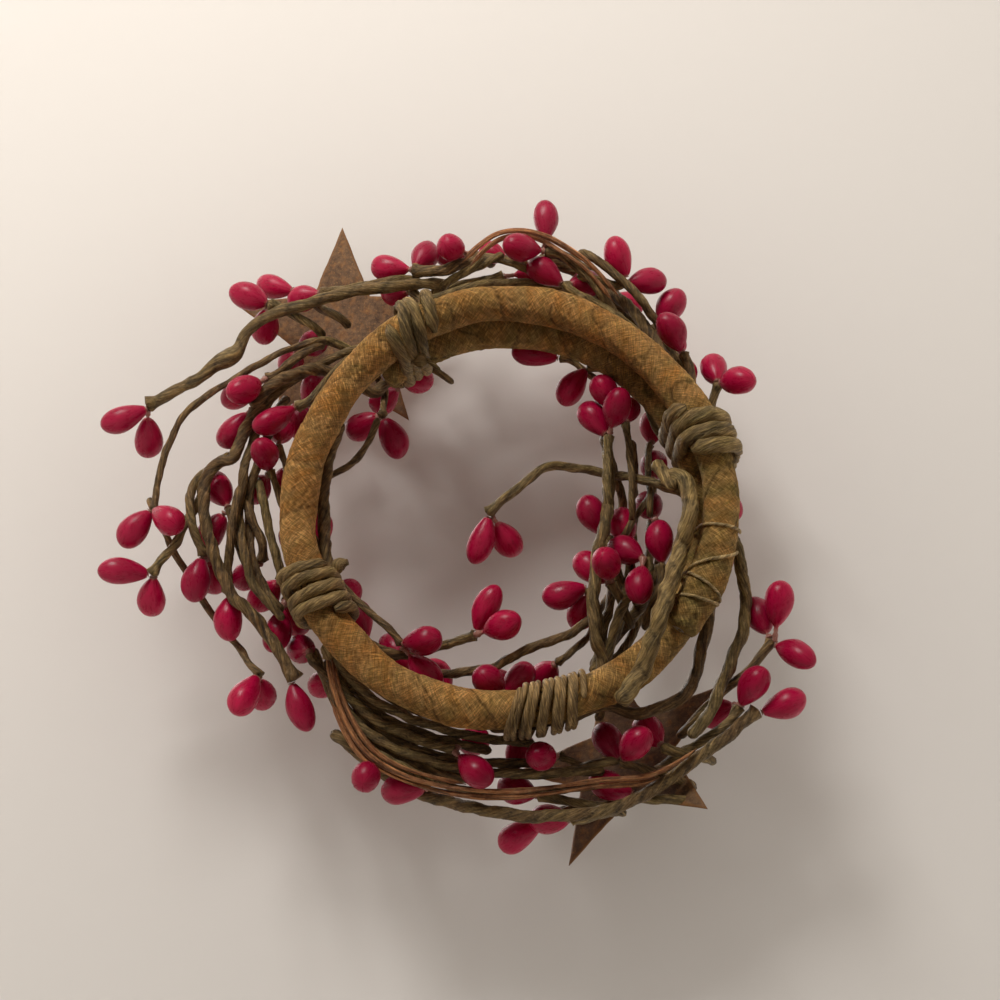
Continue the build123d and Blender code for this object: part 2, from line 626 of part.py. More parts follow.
sprays = {
    "lower_bundle": [
        (twig, 0, [(430, 650, 1.5), (398, 655, 1), ("left_tie", 0), (305, 526, 0.5), (297, 503)], []),
        (twig, 0, [("left_tie", 2), (345, 672), (377, 702), (425, 724), (480, 738), (535, 744)], []),
        (twig, 0, [("left_tie", 5), (340, 684), (371, 717), (420, 741), (452, 749)],
         [(full_berry, 474, 739), (full_berry, 476, 771)]),
        (twig, 0, [(326, 660, 1.5), (338, 697), (368, 733), (415, 757), (468, 770), (520, 774), (575, 772)], []),
        (twig, 0, [(322, 672, 1), (339, 712), (366, 747), (412, 772), (430, 783)],
         [(full_berry, 401, 791)]),
        (thick_twig, 0, [(352, 748), (385, 775), (430, 797), (480, 810), (540, 817), (600, 812), (642, 797),
                         (680, 772), (712, 748), (738, 729), (756, 712)], [(full_berry, 782, 705)]),
    ],
    "left_outer": [
        (thick_twig, 0, [(251, 418), (240, 441), (231, 458), (218, 463), (206, 478), (203, 505), (208, 535),
                         (217, 565), (232, 595), (255, 620), (276, 647), (293, 678)], [(long_berry, 300, 708)]),
        (twig, 0, [(209, 469), (193, 484), (189, 510), (194, 533), (203, 553)],
         [(full_berry, 195, 588), (full_berry, 208, 577)]),
        (twig, 0.5, [(199, 500), (187, 519), (178, 539), (163, 557), (153, 573)],
         [(long_berry, 119, 572), (full_berry, 152, 594)]),
        (twig, 0, [(236, 505), (229, 540), (228, 570), (227, 592)], [(full_berry, 229, 619, near)]),
    ],
    "far_left": [
        (thick_twig, 0, [(420, 283, 1), (375, 288), (330, 296), (290, 309), (262, 318), (246, 332), (236, 352),
                         (214, 366), (189, 383), (165, 396), (148, 404)],
         [(long_berry, 120, 419), (full_berry, 147, 439)]),
        (thin_twig, 0.5, [(300, 345), (275, 355), (247, 370), (222, 386), (198, 402), (180, 420), (167, 447),
                          (158, 478), (153, 508)], [(full_berry, 136, 528), (full_berry, 167, 520)]),
        (thin_twig, 0, [(157, 519), (170, 546), (190, 579), (207, 609), (232, 641), (257, 673)],
         [(full_berry, 246, 694), (short_berry, 267, 701)]),
    ],
    "left_shoulder": [
        (thick_twig, 0, [("top_left_tie", 1), (373, 391, 3.3), (350, 380, 2.2), (325, 371, 0.8), (299, 371),
                         (271, 385), (254, 406)],
         [(full_berry, 232, 431)]),
        (twig, 0, [(388, 338, 1.5), (370, 345), (335, 356), (303, 374), (277, 392), (263, 412), (252, 440),
                   (243, 475), (239, 515), (243, 550), (254, 585), (283, 620)], []),
        (twig, 0, [(334, 372), (312, 398), (297, 406)], [(long_berry, 272, 419)]),
        (twig, 0.5, [(300, 355), (283, 368), (268, 378)], [(full_berry, 227, 395), (full_berry, 246, 392)]),
        (twig, 0, [(276, 415), (262, 450), (251, 487), (248, 525), (252, 560), (266, 592), (282, 612, 1)], []),
        (thin_twig, 0.8, [(286, 490), (286, 467), (278, 447)], [(short_berry, 281, 431)]),
        (thin_twig, 0.5, [(296, 540), (284, 510), (273, 480), (270, 472)],
         [(short_berry, 264, 456), (full_berry, 258, 489)]),
        (thin_twig, 1, [(243, 560), (235, 538), (229, 510)], [(full_berry, 219, 488), (short_berry, 217, 532)]),
    ],
    "left_inner": [
        (twig, 0.5, [(262, 500), (270, 535), (278, 565), (281, 578)], [(full_berry, 263, 596, near)]),
        (twig, 1, [(252, 520), (262, 545), (262, 560)], [(short_berry, 246, 577)]),
        (twig, 0, [(300, 575), (290, 590), (286, 600)], [(full_berry, 293, 618), (full_berry, 276, 622)]),
        (thin_twig, 1, [(318, 668), (312, 662), (310, 656)], [(full_berry, 296, 643)]),
        (thin_twig, 1.5, [(352, 670), (342, 677), (337, 681)], [(short_berry, 322, 686)]),
    ],
    "upper_left": [
        (twig, 0, [("top_left_tie", 2), (360, 357, 3.5), (338, 344, 2.8), (318, 340, 1.2), (300, 348)],
         [(short_berry, 313, 343), (short_berry, 289, 361)]),
        (twig, 0, [(392, 280), (352, 288), (322, 292)], [(short_berry, 306, 297)]),
        (twig, 0.5, [(330, 312), (305, 300), (296, 292)], [(long_berry, 277, 287)]),
        (twig, 1, [(300, 318), (285, 310), (270, 304)], [(full_berry, 250, 297), (full_berry, 266, 322)]),
    ],
    "top_left_inner": [
        (twig, 0, [(392, 345, 1.5), (395, 372), (402, 385)], [(short_berry, 388, 396), (full_berry, 415, 381)]),
        (thin_twig, 1, [(372, 372), (384, 392), (382, 414)], [(full_berry, 366, 424), (full_berry, 395, 446)]),
        (thin_twig, 1.8, [(378, 418), (366, 446), (350, 464), (330, 476)], []),
        (thin_twig, 2, [(430, 368), (415, 362)], [(small_berry, 405, 365)]),
    ],
    "top": [
        (twig, 0, [(408, 328, 4), (426, 302, 3), (445, 284, 1.5), (470, 269, 0.5), (504, 254)], []),
        (thick_twig, 0, [(470, 262), (440, 270), (414, 271)], [(full_berry, 389, 267), (full_berry, 421, 259)]),
        (twig, 1, [(420, 300), (412, 290)], [(full_berry, 396, 291)]),
        (twig, 1, [(510, 262), (485, 256), (472, 255)], [(full_berry, 439, 254), (short_berry, 458, 252)]),
        (twig, 0, [(600, 292), (580, 268), (562, 256), (547, 251)], [(full_berry, 521, 246), (long_berry, 545, 219)]),
        (twig, 0.5, [(620, 318), (590, 300), (570, 290), (566, 284)], [(full_berry, 547, 274), (full_berry, 585, 284)]),
        (thin_twig, 1.5, [(520, 262), (507, 259)], [(small_berry, 492, 252)]),
    ],
    "top_bundle": [
        (twig, 0, [(440, 296), (470, 287), (505, 282), (545, 286), (580, 295), (612, 312), (640, 335), (664, 360)], []),
        (thick_twig, 0.5, [(545, 250), (575, 262), (602, 284), (628, 306), (650, 333), (668, 360), (690, 388),
                           ("right_tie", 2)], []),
        (thick_twig, 0.8, [(562, 264), (590, 282), (615, 304), (638, 327), (657, 352), (674, 380)], []),
        (twig, 0.5, [(600, 262), (622, 280), (642, 300), (658, 323), (672, 350), (690, 374)], []),
    ],
    "top_right": [
        (twig, 1, [(600, 280), (616, 285), (625, 281)], [(full_berry, 620, 258), (full_berry, 645, 282)]),
        (twig, 1, [(648, 330), (656, 328)], [(full_berry, 669, 309)]),
        (twig, 1, [(692, 388), (690, 368), (684, 354)], [(full_berry, 673, 334)]),
        (twig, 1, [(706, 428), (712, 405), (718, 385)], [(full_berry, 715, 371), (full_berry, 736, 382)]),
    ],
    "inner_upper_right": [
        (twig, 1, [("right_tie", 0), (640, 390), (615, 372), (590, 366)], [(full_berry, 572, 389)]),
        (thin_twig, 1.5, [(600, 384), (578, 364), (562, 358)], [(long_berry, 535, 354)]),
        (twig, 1, [(608, 490), (607, 460), (609, 437)], [(full_berry, 596, 421), (full_berry, 617, 406)]),
        (thin_twig, 1.5, [(632, 492), (630, 455), (626, 425)], [(small_berry, 637, 402), (short_berry, 618, 376)]),
        (thin_twig, 1, [(650, 492), (648, 465), (650, 446)], [(full_berry, 654, 428)]),
        (thin_twig, 3, [(634, 520), (648, 500), (654, 484)], [(full_berry, 661, 460)]),
    ],
    "inner_right": [
        (thick_twig, 0, [(605, 430, 2), (609, 462), (609, 495), (604, 528), (598, 552), (594, 590), (594, 618),
                         (596, 640), (602, 662, 0.8), ("bottom_tie", 1)], []),
        (twig, 0.5, [(596, 610), (591, 590)], [(full_berry, 566, 593), (full_berry, 581, 613)]),
        (twig, 1, [(620, 600), (612, 585)], [(full_berry, 590, 568), (full_berry, 606, 564)]),
        (twig, 0, [(604, 690, -2), (612, 640), (624, 605), (648, 572), (646, 560)],
         [(full_berry, 628, 552), (full_berry, 641, 586)]),
        (twig, 1, [(655, 600), (662, 580), (661, 566)], [(full_berry, 661, 543)]),
        (twig, 1, [(634, 580), (630, 560)], [(full_berry, 622, 524)]),
        (twig, 1.5, [(660, 560), (664, 540), (657, 524)], [(full_berry, 649, 507)]),
        (twig, 2, [(615, 560), (608, 538)], [(full_berry, 600, 511)]),
    ],
    "right_bundle": [
        (twig, 0, [(614, 470), (622, 500), (620, 540), (612, 590), (606, 620), (601, 648),
                   (592, 674, 1)], []),
        (twig, 0, [(632, 440), (634, 480), (634, 520), (630, 570), (622, 615), (610, 650), (598, 674), (592, 690)], []),
        (thick_twig, -0.6, [(641, 606), (617, 636), (592, 668)], []),
        (twig, 0.5, [(652, 450), (652, 500), (650, 550), (644, 600), (630, 640), (612, 664)], []),
    ],
    "centre_twig": [
        (twig, 0.5, [(668, 487), (640, 479), (602, 473), (572, 467), (546, 467), (528, 480), (508, 496), (489, 512)],
         [(long_berry, 479, 545, near), (full_berry, 508, 542, near)]),
    ],
    "lower_centre": [
        (thin_twig, 0, [(340, 583), (362, 606), (385, 625), (400, 643)], [(full_berry, 420, 641), (full_berry, 425, 665)]),
        (twig, 0.5, [(400, 655), (428, 650), (455, 642), (474, 636)], [(long_berry, 488, 606), (full_berry, 503, 625)]),
        (twig, 0, [(592, 618), (572, 633), (540, 645), (510, 658), (488, 669), (450, 674), (415, 676), (372, 684)], []),
    ],
    "bottom_inner": [
        (thin_twig, 0, [(600, 612), (588, 636), (570, 654), (558, 662)], [(full_berry, 545, 674)]),
        (thin_twig, 1, [(535, 712), (520, 704), (505, 700)], [(full_berry, 516, 682), (full_berry, 489, 683)]),
    ],
    "bottom": [
        (twig, 1, [(600, 764), (560, 773), (532, 776), (512, 774)], [(full_berry, 520, 752)]),
        (thin_twig, 1.5, [(572, 762), (560, 757)], [(short_berry, 540, 754)]),
        (twig, 1.5, [(598, 807, 1.1), (566, 801), (540, 797)], [(full_berry, 520, 790)]),
        (twig, 1, [(600, 815), (585, 819), (573, 820)], [(full_berry, 552, 820)]),
        (twig, 1, [(590, 808), (560, 812), (543, 824)], [(full_berry, 518, 838)]),
        (thin_twig, 1, [(400, 752), (385, 762), (378, 765)], [(short_berry, 366, 767)]),
        (thin_twig, 1, [(412, 744), (398, 748)], [(small_berry, 380, 750)]),
    ],
    "bottom_right": [
        (twig, 1, [(672, 778), (648, 770), (622, 764)], [(full_berry, 610, 745), (full_berry, 633, 748, near)]),
        (twig, 1, [(690, 755), (675, 752), (664, 748)], [(full_berry, 651, 735)]),
        (twig, 1.5, [(670, 800), (650, 800), (636, 797)], [(full_berry, 613, 786)]),
        (thick_twig, 0.5, [("bottom_tie", 2), (632, 714), (660, 708), (684, 696), (697, 672), (703, 645), (709, 618)], []),
    ],
    "far_right": [
        (thick_twig, 0, [(690, 738), (709, 714), (720, 690), (733, 660), (744, 628), (745, 596), (740, 560)], []),
        (twig, 0, [(700, 715), (722, 692, 0.3), (744, 676, 0.4), (760, 658), (771, 643)],
         [(full_berry, 758, 615), (full_berry, 772, 600), (long_berry, 808, 645)]),
        (twig, 0.5, [(680, 755), (708, 738), (730, 722), (739, 708)], [(full_berry, 752, 689), (full_berry, 717, 714)]),
    ],
}

# Sprays on the candle's side follow the hoop, which hides them from below: the angle of each stem's foot, how far
# its tip leans out in picture units, and its level.
crown_radius_px = 212.0
crown_stem_share = [0, 0.34, 0.68, 1]
crown_stem_angle = 20.0
crown_berry_angle = 9.0
crown_aside_px = 13.0
crown_sprays = {
    "left_crown": [(-236, 4, 3.6), (-220, -6, 4.4), (-204, 6, 3.4), (-190, -4, 4.2), (-178, 5, 3.4)],
    "top_crown": [(-112, 4, 3.6), (-98, -6, 4.4), (-84, 6, 3.4), (-70, -4, 4.4), (-62, -8, 4.6)],
    "right_crown": [(-38, 4, 4.0), (-24, -6, 4.6), (-10, 6, 3.8), (4, -4, 4.4)],
    "bottom_crown": [(84, 4, 3.6), (96, -6, 4.4), (64, 6, 3.8), (112, -4, 4.6)],
}


def crown_place(angle, aside):
    turned = math.radians(angle)
    reach = crown_radius_px + aside
    return view_centre_px[0] + reach * math.cos(turned), view_centre_px[1] + reach * math.sin(turned)


def crown_branches(feet):
    branches = []
    for index, (angle, lean, level) in enumerate(feet):
        route = [crown_place(angle + crown_stem_angle * share, lean * share) for share in crown_stem_share]
        ahead = angle + crown_stem_angle + crown_berry_angle
        kinds = (full_berry, long_berry) if index % 2 else (short_berry, full_berry)
        berries = [(kind, *crown_place(ahead, side * crown_aside_px)) for kind, side in zip(kinds, (1, -1))]
        branches.append((twig, level, route, berries))
    return branches


# Where each star lies and how it is turned: one tip points along its first direction.
sight_down = np.array([0, lean_cosine, lean_sine])
sight_away = np.array([0, -lean_sine, lean_cosine])
right_way = np.array([1.0, 0, 0])
upper_star_px = (341, 333)
upper_star_turn = -91.0
lower_star_px = (624, 758)
lower_star_turn = 0.0
lower_star_tilt = 54.0
lower_star_dip_share = (0.59, 0.81)
star_level = 2.0


def turned_pair(first, second, degrees):
    turned = math.radians(degrees)
    return (first * math.cos(turned) + second * math.sin(turned), second * math.cos(turned) - first * math.sin(turned))


def tin_stars():
    upper = turned_pair(right_way, np.array([0, 1.0, 0]), upper_star_turn)
    export_step(lay_star("upper_star", *upper_star_px, star_level, *upper), "parts/upper_star.step")
    dip_x, dip_y = lower_star_dip_share
    level_way = dip_y * right_way - dip_x * sight_down
    dip_way = turned_pair(dip_x * right_way + dip_y * sight_down, -sight_away, lower_star_tilt)[0]
    lower = turned_pair(level_way, dip_way, lower_star_turn)
    export_step(lay_star("lower_star", *lower_star_px, star_level, *lower), "parts/lower_star.step")


rope, wire = base_hoop()
export_step(rope, "parts/base_hoop.step")
export_step(wire, "parts/hoop_wire.step")
for name, (angle, turns, cord, pitch, load_share) in ties.items():
    export_step(wound_tie(name, angle, turns, cord, pitch, load_share * slot_pitch, True), f"parts/{name}.step")
string = wound_tie("string", string_angle, string_turns, string_thickness, string_pitch, 0, False)
export_step(string, "parts/string.step")
keep_slots_free()

wrap, _ = lay_twig("wrap_twig", wrap_twig_thickness, 0, wrap_twig_px, -1)
export_step(tube(wrap, wrap_twig_thickness, twig_facets), "parts/wrap_twig.step")
cord_end, _ = lay_twig("short_cord", short_cord_thickness, 0, short_cord_px)
export_step(tube(cord_end, short_cord_thickness, twig_facets), "parts/short_cord.step")

for name, routes in (("lower_raffia", raffia_lower_px), ("upper_raffia", raffia_upper_px)):
    strands = [tube(lay_twig(name, raffia_thickness, raffia_level, route)[0], raffia_thickness, raffia_facets)
               for route in routes]
    export_step(Compound(children=strands), f"parts/{name}.step")

for name, branches in sprays.items():
    grow_spray(name, branches)
for name, feet in crown_sprays.items():
    grow_spray(name, crown_branches(feet))
tin_stars()
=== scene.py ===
import math
import bmesh
import bpy
import numpy as np
from mathutils import Matrix, Vector


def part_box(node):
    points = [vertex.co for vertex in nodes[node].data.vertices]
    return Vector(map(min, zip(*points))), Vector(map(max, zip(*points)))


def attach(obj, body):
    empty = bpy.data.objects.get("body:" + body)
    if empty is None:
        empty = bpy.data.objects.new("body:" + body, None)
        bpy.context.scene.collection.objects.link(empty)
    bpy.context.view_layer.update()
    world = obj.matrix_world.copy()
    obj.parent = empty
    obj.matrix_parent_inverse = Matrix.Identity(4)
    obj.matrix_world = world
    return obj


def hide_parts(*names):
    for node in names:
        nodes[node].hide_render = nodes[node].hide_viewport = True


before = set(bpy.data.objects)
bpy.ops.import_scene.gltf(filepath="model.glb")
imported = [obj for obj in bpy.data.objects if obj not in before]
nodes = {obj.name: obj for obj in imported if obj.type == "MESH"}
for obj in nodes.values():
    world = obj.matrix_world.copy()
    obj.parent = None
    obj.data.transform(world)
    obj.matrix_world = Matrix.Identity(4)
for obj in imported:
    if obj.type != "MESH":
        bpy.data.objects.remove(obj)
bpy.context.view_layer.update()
mm = 0.001
fullTurn = 2 * math.pi
seeded = np.random.default_rng
print("frame loaded:", len(nodes), "nodes")

# How the solids' own rings are recognised.
reading = {"weld": 0.004 * mm, "sameFacing": 0.9999, "roundness": 0.75}


# Flat ends of a mesh: joined faces that face one way, with one corner for each side of the ring. Roundness is
# 4 pi times the area over the rim's length squared.
def flatEnds(work, sides):
    seenFaces, ends = set(), []
    for face in work.faces:
        if face in seenFaces:
            continue
        flat, waiting = {face}, [face]
        while waiting:
            for edge in waiting.pop().edges:
                for other in edge.link_faces:
                    if other not in flat and other.normal.dot(face.normal) > reading["sameFacing"]:
                        flat.add(other)
                        waiting.append(other)
        seenFaces |= flat
        corners = {corner for one in flat for corner in one.verts}
        rim = sum(edge.calc_length() for one in flat for edge in one.edges
                  if sum(other in flat for other in edge.link_faces) == 1)
        roundness = 4 * math.pi * sum(one.calc_area() for one in flat) / rim ** 2
        if len(corners) == sides and roundness > reading["roundness"]:
            ends.append(corners)
    return ends


# The rings of a node's solids, read from a copy by walking each solid from one flat end to the other. Each
# solid gives the middles of its rings and their mean radii.
def ringsOf(nodeName, sides):
    work = bmesh.new()
    work.from_mesh(nodes[nodeName].data)
    bmesh.ops.remove_doubles(work, verts=work.verts, dist=reading["weld"])
    work.normal_update()
    found, seen = [], set()
    for end in flatEnds(work, sides):
        if end & seen:
            continue
        middles, radii, ring = [], [], end
        while ring:
            seen |= ring
            spots = np.array([corner.co for corner in ring])
            middles.append(spots.mean(axis=0))
            radii.append(np.linalg.norm(spots - spots.mean(axis=0), axis=1).mean())
            ring = {edge.other_vert(corner) for corner in ring for edge in corner.link_edges} - seen
        found.append((np.array(middles), np.array(radii)))
    work.free()
    return found


# A smooth line through points: on each run a cubic whose end slopes are half the chord between the
# neighbouring points, then points at even steps along it.
def smoothLine(points, spacing):
    before, after = 2 * points[:1] - points[1:2], 2 * points[-1:] - points[-2:-1]
    padded = np.vstack([before, points, after])
    a, b, c, d = (padded[k:len(padded) - 3 + k, None, :] for k in range(4))
    t = np.linspace(0, 1, 12, endpoint=False)[None, :, None]
    curve = b + (c - a) * t / 2
    curve = curve + (2 * a - 5 * b + 4 * c - d) * t ** 2 / 2 + (3 * b - a - 3 * c + d) * t ** 3 / 2
    return evenLine(np.vstack([curve.reshape(-1, 3), points[-1:]]), spacing)


# Points at even lengths along a line of short straight runs, with those lengths.
def evenLine(curve, spacing):
    run = np.append(0, np.cumsum(np.linalg.norm(np.diff(curve, axis=0), axis=1)))
    along = np.linspace(0, run[-1], max(round(run[-1] / spacing), 4) + 1)
    return np.stack([np.interp(along, run, curve[:, k]) for k in range(3)], axis=1), along


# Each row divided by its own length.
def unitRows(vectors):
    return vectors / np.linalg.norm(vectors, axis=-1, keepdims=True)


# A route given as angle in degrees, millimetres from the middle and millimetres up, as points: reach times
# the angle's cosine, reach times its sine, and the height.
def polarLine(route):
    turns = np.radians([angle for angle, _, _ in route])
    reach, up = np.array([(reach, up) for _, reach, up in route]).T * mm
    return np.stack([reach * np.cos(turns), reach * np.sin(turns), up], axis=1)


# Rings round a line: at station i and column j the point is the line's point i plus reach(i, j) times
# cos(turn j) along the side direction and sin(turn j) along the lift direction.
def ringsAround(line, reach, upright=(0, 0, 1)):
    turn = np.arange(reach.shape[1]) / reach.shape[1] * fullTurn
    tangent = unitRows(np.gradient(line, axis=0))
    side = unitRows(np.cross(upright, tangent))
    lift = np.cross(tangent, side)
    way = np.cos(turn)[None, :, None] * side[:, None, :] + np.sin(turn)[None, :, None] * lift[:, None, :]
    return line[:, None, :] + reach[:, :, None] * way


# Random ripples on a sheet: cosine waves added up. Each has a whole number of crests round the line, so that
# the sheet closes, and a random number of crests per metre along it. The dictionaries give ripples as size,
# number of waves, range of crests round and range of crests along.
def ripples(chance, along, turn, size, waves, crestsRound, crestsAlong):
    sheet = np.zeros(np.broadcast(along, turn).shape)
    for _ in range(waves):
        crests = chance.integers(crestsRound[0], crestsRound[1] + 1)
        phase = fullTurn * along * chance.uniform(*crestsAlong) + crests * turn
        sheet += np.cos(phase + chance.uniform(0, fullTurn))
    return size * sheet / math.sqrt(waves)


# Three columns of ripples, one for each direction, that bend a line.
def waverOf(chance, along, waves):
    return np.hstack([ripples(chance, along, 0, *waves) for _ in range(3)])


# Columns of a sheet: the length along the line as a column, the turn round it as a row.
def sheetOver(along, columns):
    return along[:, None], (np.arange(columns) / columns * fullTurn)[None, :]


# Coordinates that lie on the wrapping: the ring's own circle, turned back as the paper winds, and the length.
def wrapCoordinates(along, turn, radius, windings):
    twisted = turn - fullTurn * windings * along
    return stacked(radius * np.cos(twisted), radius * np.sin(twisted), along)


# Sheets side by side, as the coordinates of one.
def stacked(*sheets):
    return np.stack(np.broadcast_arrays(*sheets), axis=-1)


# The overlap of wound tape: at share p of a winding the step is one half minus p, and the dip is a bell at
# whole windings, exp(-(distance / edge) squared).
def seamShape(phase, edge):
    part = phase % 1
    near = np.minimum(part, 1 - part) / edge
    return (1 - part) - 0.5, np.exp(-near ** 2)


# A rounded end: the root of 1 - (1 - share) squared, a quarter circle, and never under the root of least.
def quarterRound(share, least):
    return np.sqrt(np.clip(1 - (1 - np.clip(share, 0, 1)) ** 2, least, 1))


# A closed skin from a grid of rings, with a point at the mean of each end's ring. The vectors and values are
# marks kept on its corners for the material.
def closedPart(grid, vectors, values):
    rows, columns = grid.shape[:2]
    index = np.arange(rows * columns).reshape(rows, columns)
    ahead = np.roll(index, -1, axis=1)
    quads = stacked(index[:-1], ahead[:-1], ahead[1:], index[1:]).reshape(-1, 4)
    first, last = np.full(columns, rows * columns), np.full(columns, rows * columns + 1)
    fans = np.vstack([stacked(first, ahead[0], index[0]), stacked(last, index[-1], ahead[-1])])

    def listed(sheet, width):
        sheet = np.broadcast_to(sheet, (rows, columns, width))
        return np.vstack([sheet.reshape(-1, width), sheet[0].mean(axis=0), sheet[-1].mean(axis=0)])

    marks = {label: listed(sheet, 3) for label, sheet in vectors.items()}
    marks |= {label: listed(np.asarray(sheet)[..., None], 1) for label, sheet in values.items()}
    return {"corners": listed(grid, 3), "quads": quads, "fans": fans, "marks": marks}


# One object from many parts, at the origin, riding on the ring's only body in place of a solid.
def addPiece(solid, parts, material, name=None):
    name = name or "look_" + solid
    offsets = np.cumsum([0] + [len(part["corners"]) for part in parts[:-1]])
    corners = np.vstack([part["corners"] for part in parts])
    quads, fans = (np.vstack([part[kind] + offset for part, offset in zip(parts, offsets)])
                   for kind in ("quads", "fans"))
    mesh = bpy.data.meshes.new(name)
    mesh.vertices.add(len(corners))
    mesh.vertices.foreach_set("co", corners.astype(np.float32).ravel())
    loops = np.concatenate([quads.ravel(), fans.ravel()])
    mesh.loops.add(len(loops))
    mesh.loops.foreach_set("vertex_index", loops.astype(np.int32))
    starts = np.concatenate([np.arange(len(quads)) * 4, len(quads) * 4 + np.arange(len(fans)) * 3])
    mesh.polygons.add(len(starts))
    mesh.polygons.foreach_set("loop_start", starts.astype(np.int32))
    mesh.update(calc_edges=True)
    mesh.validate()
    mesh.polygons.foreach_set("use_smooth", np.ones(len(starts), dtype=bool))
    for label in parts[0]["marks"]:
        values = np.vstack([part["marks"][label] for part in parts]).astype(np.float32)
        isVector = values.shape[1] == 3
        attribute = mesh.attributes.new(label, "FLOAT_VECTOR" if isVector else "FLOAT", "POINT")
        attribute.data.foreach_set("vector" if isVector else "value", values.ravel())
    mesh.materials.append(material)
    piece = bpy.data.objects.new(name, mesh)
    bpy.context.scene.collection.objects.link(piece)
    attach(piece, "root")
    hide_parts(solid)
    print(name, "has", 2 * len(quads) + len(fans), "triangles")


# One shader node with its properties and inputs. An input that is another node's socket is linked, and a
# colour is given as red, green and blue.
def put(tree, kind, values=None, output=0, **properties):
    node = tree.nodes.new("ShaderNode" + kind)
    for name, value in properties.items():
        setattr(node, name, value)
    for label, value in (values or {}).items():
        socket = node.inputs[label]
        if isinstance(value, bpy.types.NodeSocket):
            tree.links.new(value, socket)
        else:
            socket.default_value = (*value, 1) if socket.type == "RGBA" else value
    return node.outputs[output]


def calculate(tree, operation, *values):
    return put(tree, "Math", dict(enumerate(values)), operation=operation)


def scaled(tree, vector, factor):
    return put(tree, "VectorMath", {0: vector, "Scale": factor}, operation="SCALE")


# A value carried straight from one range to another and held at its ends.
def remap(tree, value, given=(0, 1), wanted=(0, 1), **properties):
    ends = {"From Min": given[0], "From Max": given[1], "To Min": wanted[0], "To Max": wanted[1]}
    return put(tree, "MapRange", {"Value": value, **ends}, **properties)


def mixColours(tree, factor, first, second, blend="MIX"):
    return put(tree, "Mix", {0: factor, 6: first, 7: second}, 2, data_type="RGBA", blend_type=blend)


def placeGroup(tree, group, **values):
    return put(tree, "Group", values, node_tree=group)


def bumpFrom(tree, height, look):
    return put(tree, "Bump", {"Height": height, "Strength": look["bump"], "Distance": look["bumpDepth"]})


def readMark(tree, name, output="Fac"):
    return put(tree, "Attribute", output=output, attribute_name=name)


def newGroup(name, inputs, output):
    tree = bpy.data.node_groups.new(name, "ShaderNodeTree")
    for way, sockets in (("INPUT", inputs), ("OUTPUT", output)):
        for label, kind in sockets.items():
            tree.interface.new_socket(label, in_out=way, socket_type="NodeSocket" + kind)
    return tree, tree.nodes.new("NodeGroupInput").outputs, tree.nodes.new("NodeGroupOutput").inputs


def newMaterial(name, **sockets):
    material = bpy.data.materials.new(name)
    material.use_nodes = True
    shader = material.node_tree.nodes["Principled BSDF"]
    for socket, value in sockets.items():
        shader.inputs[socket.replace("_", " ")].default_value = value
    return material, material.node_tree, shader.inputs


# Noise drawn out or pressed together along the third coordinate.
def drawnNoise(tree, given, **details):
    stretch = put(tree, "CombineXYZ", {0: 1, 1: 1, 2: given["Stretch"]})
    drawn = put(tree, "VectorMath", {0: given["Vector"], 1: stretch}, operation="MULTIPLY")
    return put(tree, "TexNoise", {"Vector": drawn, "Scale": given["Scale"], **details})


# Fibres: noise drawn out along the wrapping and sharpened by a power.
def fibreGroup():
    inputs = {"Vector": "Vector", "Scale": "Float", "Stretch": "Float", "Sharpness": "Float"}
    tree, given, out = newGroup("fibres", inputs, {"Height": "Float"})
    noise = drawnNoise(tree, given, Detail=4, Roughness=0.6)
    tree.links.new(calculate(tree, "POWER", noise, given["Sharpness"]), out["Height"])
    return tree


# Crinkle: creases where noise drawn out across the length crosses its middle value.
def crinkleGroup():
    tree, given, out = newGroup("crinkle", {"Vector": "Vector", "Scale": "Float", "Stretch": "Float"},
                                {"Height": "Float"})
    noise = drawnNoise(tree, given, Detail=3, Distortion=0.7)
    off = calculate(tree, "ABSOLUTE", calculate(tree, "SUBTRACT", noise, 0.5))
    tree.links.new(remap(tree, off, (0, 0.11)), out["Height"])
    return tree


# Mottle: two colours mixed in soft patches, with a third in rarer small spots.
def mottleGroup():
    inputs = {"Vector": "Vector", "Scale": "Float", "First": "Color", "Second": "Color", "Spot": "Color",
              "Rarity": "Float"}
    tree, given, out = newGroup("mottle", inputs, {"Color": "Color"})
    coarse = {"Vector": given["Vector"], "Scale": given["Scale"], "Detail": 5, "Roughness": 0.65}
    broad = put(tree, "TexNoise", coarse)
    patches = remap(tree, broad, (0.38, 0.62))
    finer = calculate(tree, "MULTIPLY", given["Scale"], 2.7)
    shifted = put(tree, "VectorMath", {0: given["Vector"], 1: (3.1, 1.7, 5.3)}, operation="ADD")
    fine = put(tree, "TexNoise", {"Vector": shifted, "Scale": finer, "Detail": 4, "Roughness": 0.6})
    spots = remap(tree, fine, (given["Rarity"], 0.78))
    patched = mixColours(tree, patches, given["First"], given["Second"])
    tree.links.new(mixColours(tree, spots, patched, given["Spot"]), out["Color"])
    return tree


# Relief: the colour grows lighter on ridges and darker in grooves, by the height mark of the corners.
# This is painted light: shade painted into grooves and a warm highlight painted onto ridges.
def reliefGroup():
    inputs = {"Color": "Color", "Ridge": "Float", "Groove": "Float", "Lift": "Float"}
    tree, given, out = newGroup("relief", inputs, {"Color": "Color"})
    low = remap(tree, given["Ridge"], (0.5, 0), (0, given["Groove"]))
    high = remap(tree, given["Ridge"], (0.5, 1), (0, given["Lift"]))
    # painted shade: near black mixed in where the ridge mark is low
    darker = mixColours(tree, low, given["Color"], (0.012, 0.008, 0.005))
    # painted highlight: a warm pale tone laid on where the ridge mark is high
    tree.links.new(mixColours(tree, high, darker, (1, 0.9, 0.7), "SOFT_LIGHT"), out["Color"])
    return tree


fibres, crinkle, mottle, relief = fibreGroup(), crinkleGroup(), mottleGroup(), reliefGroup()
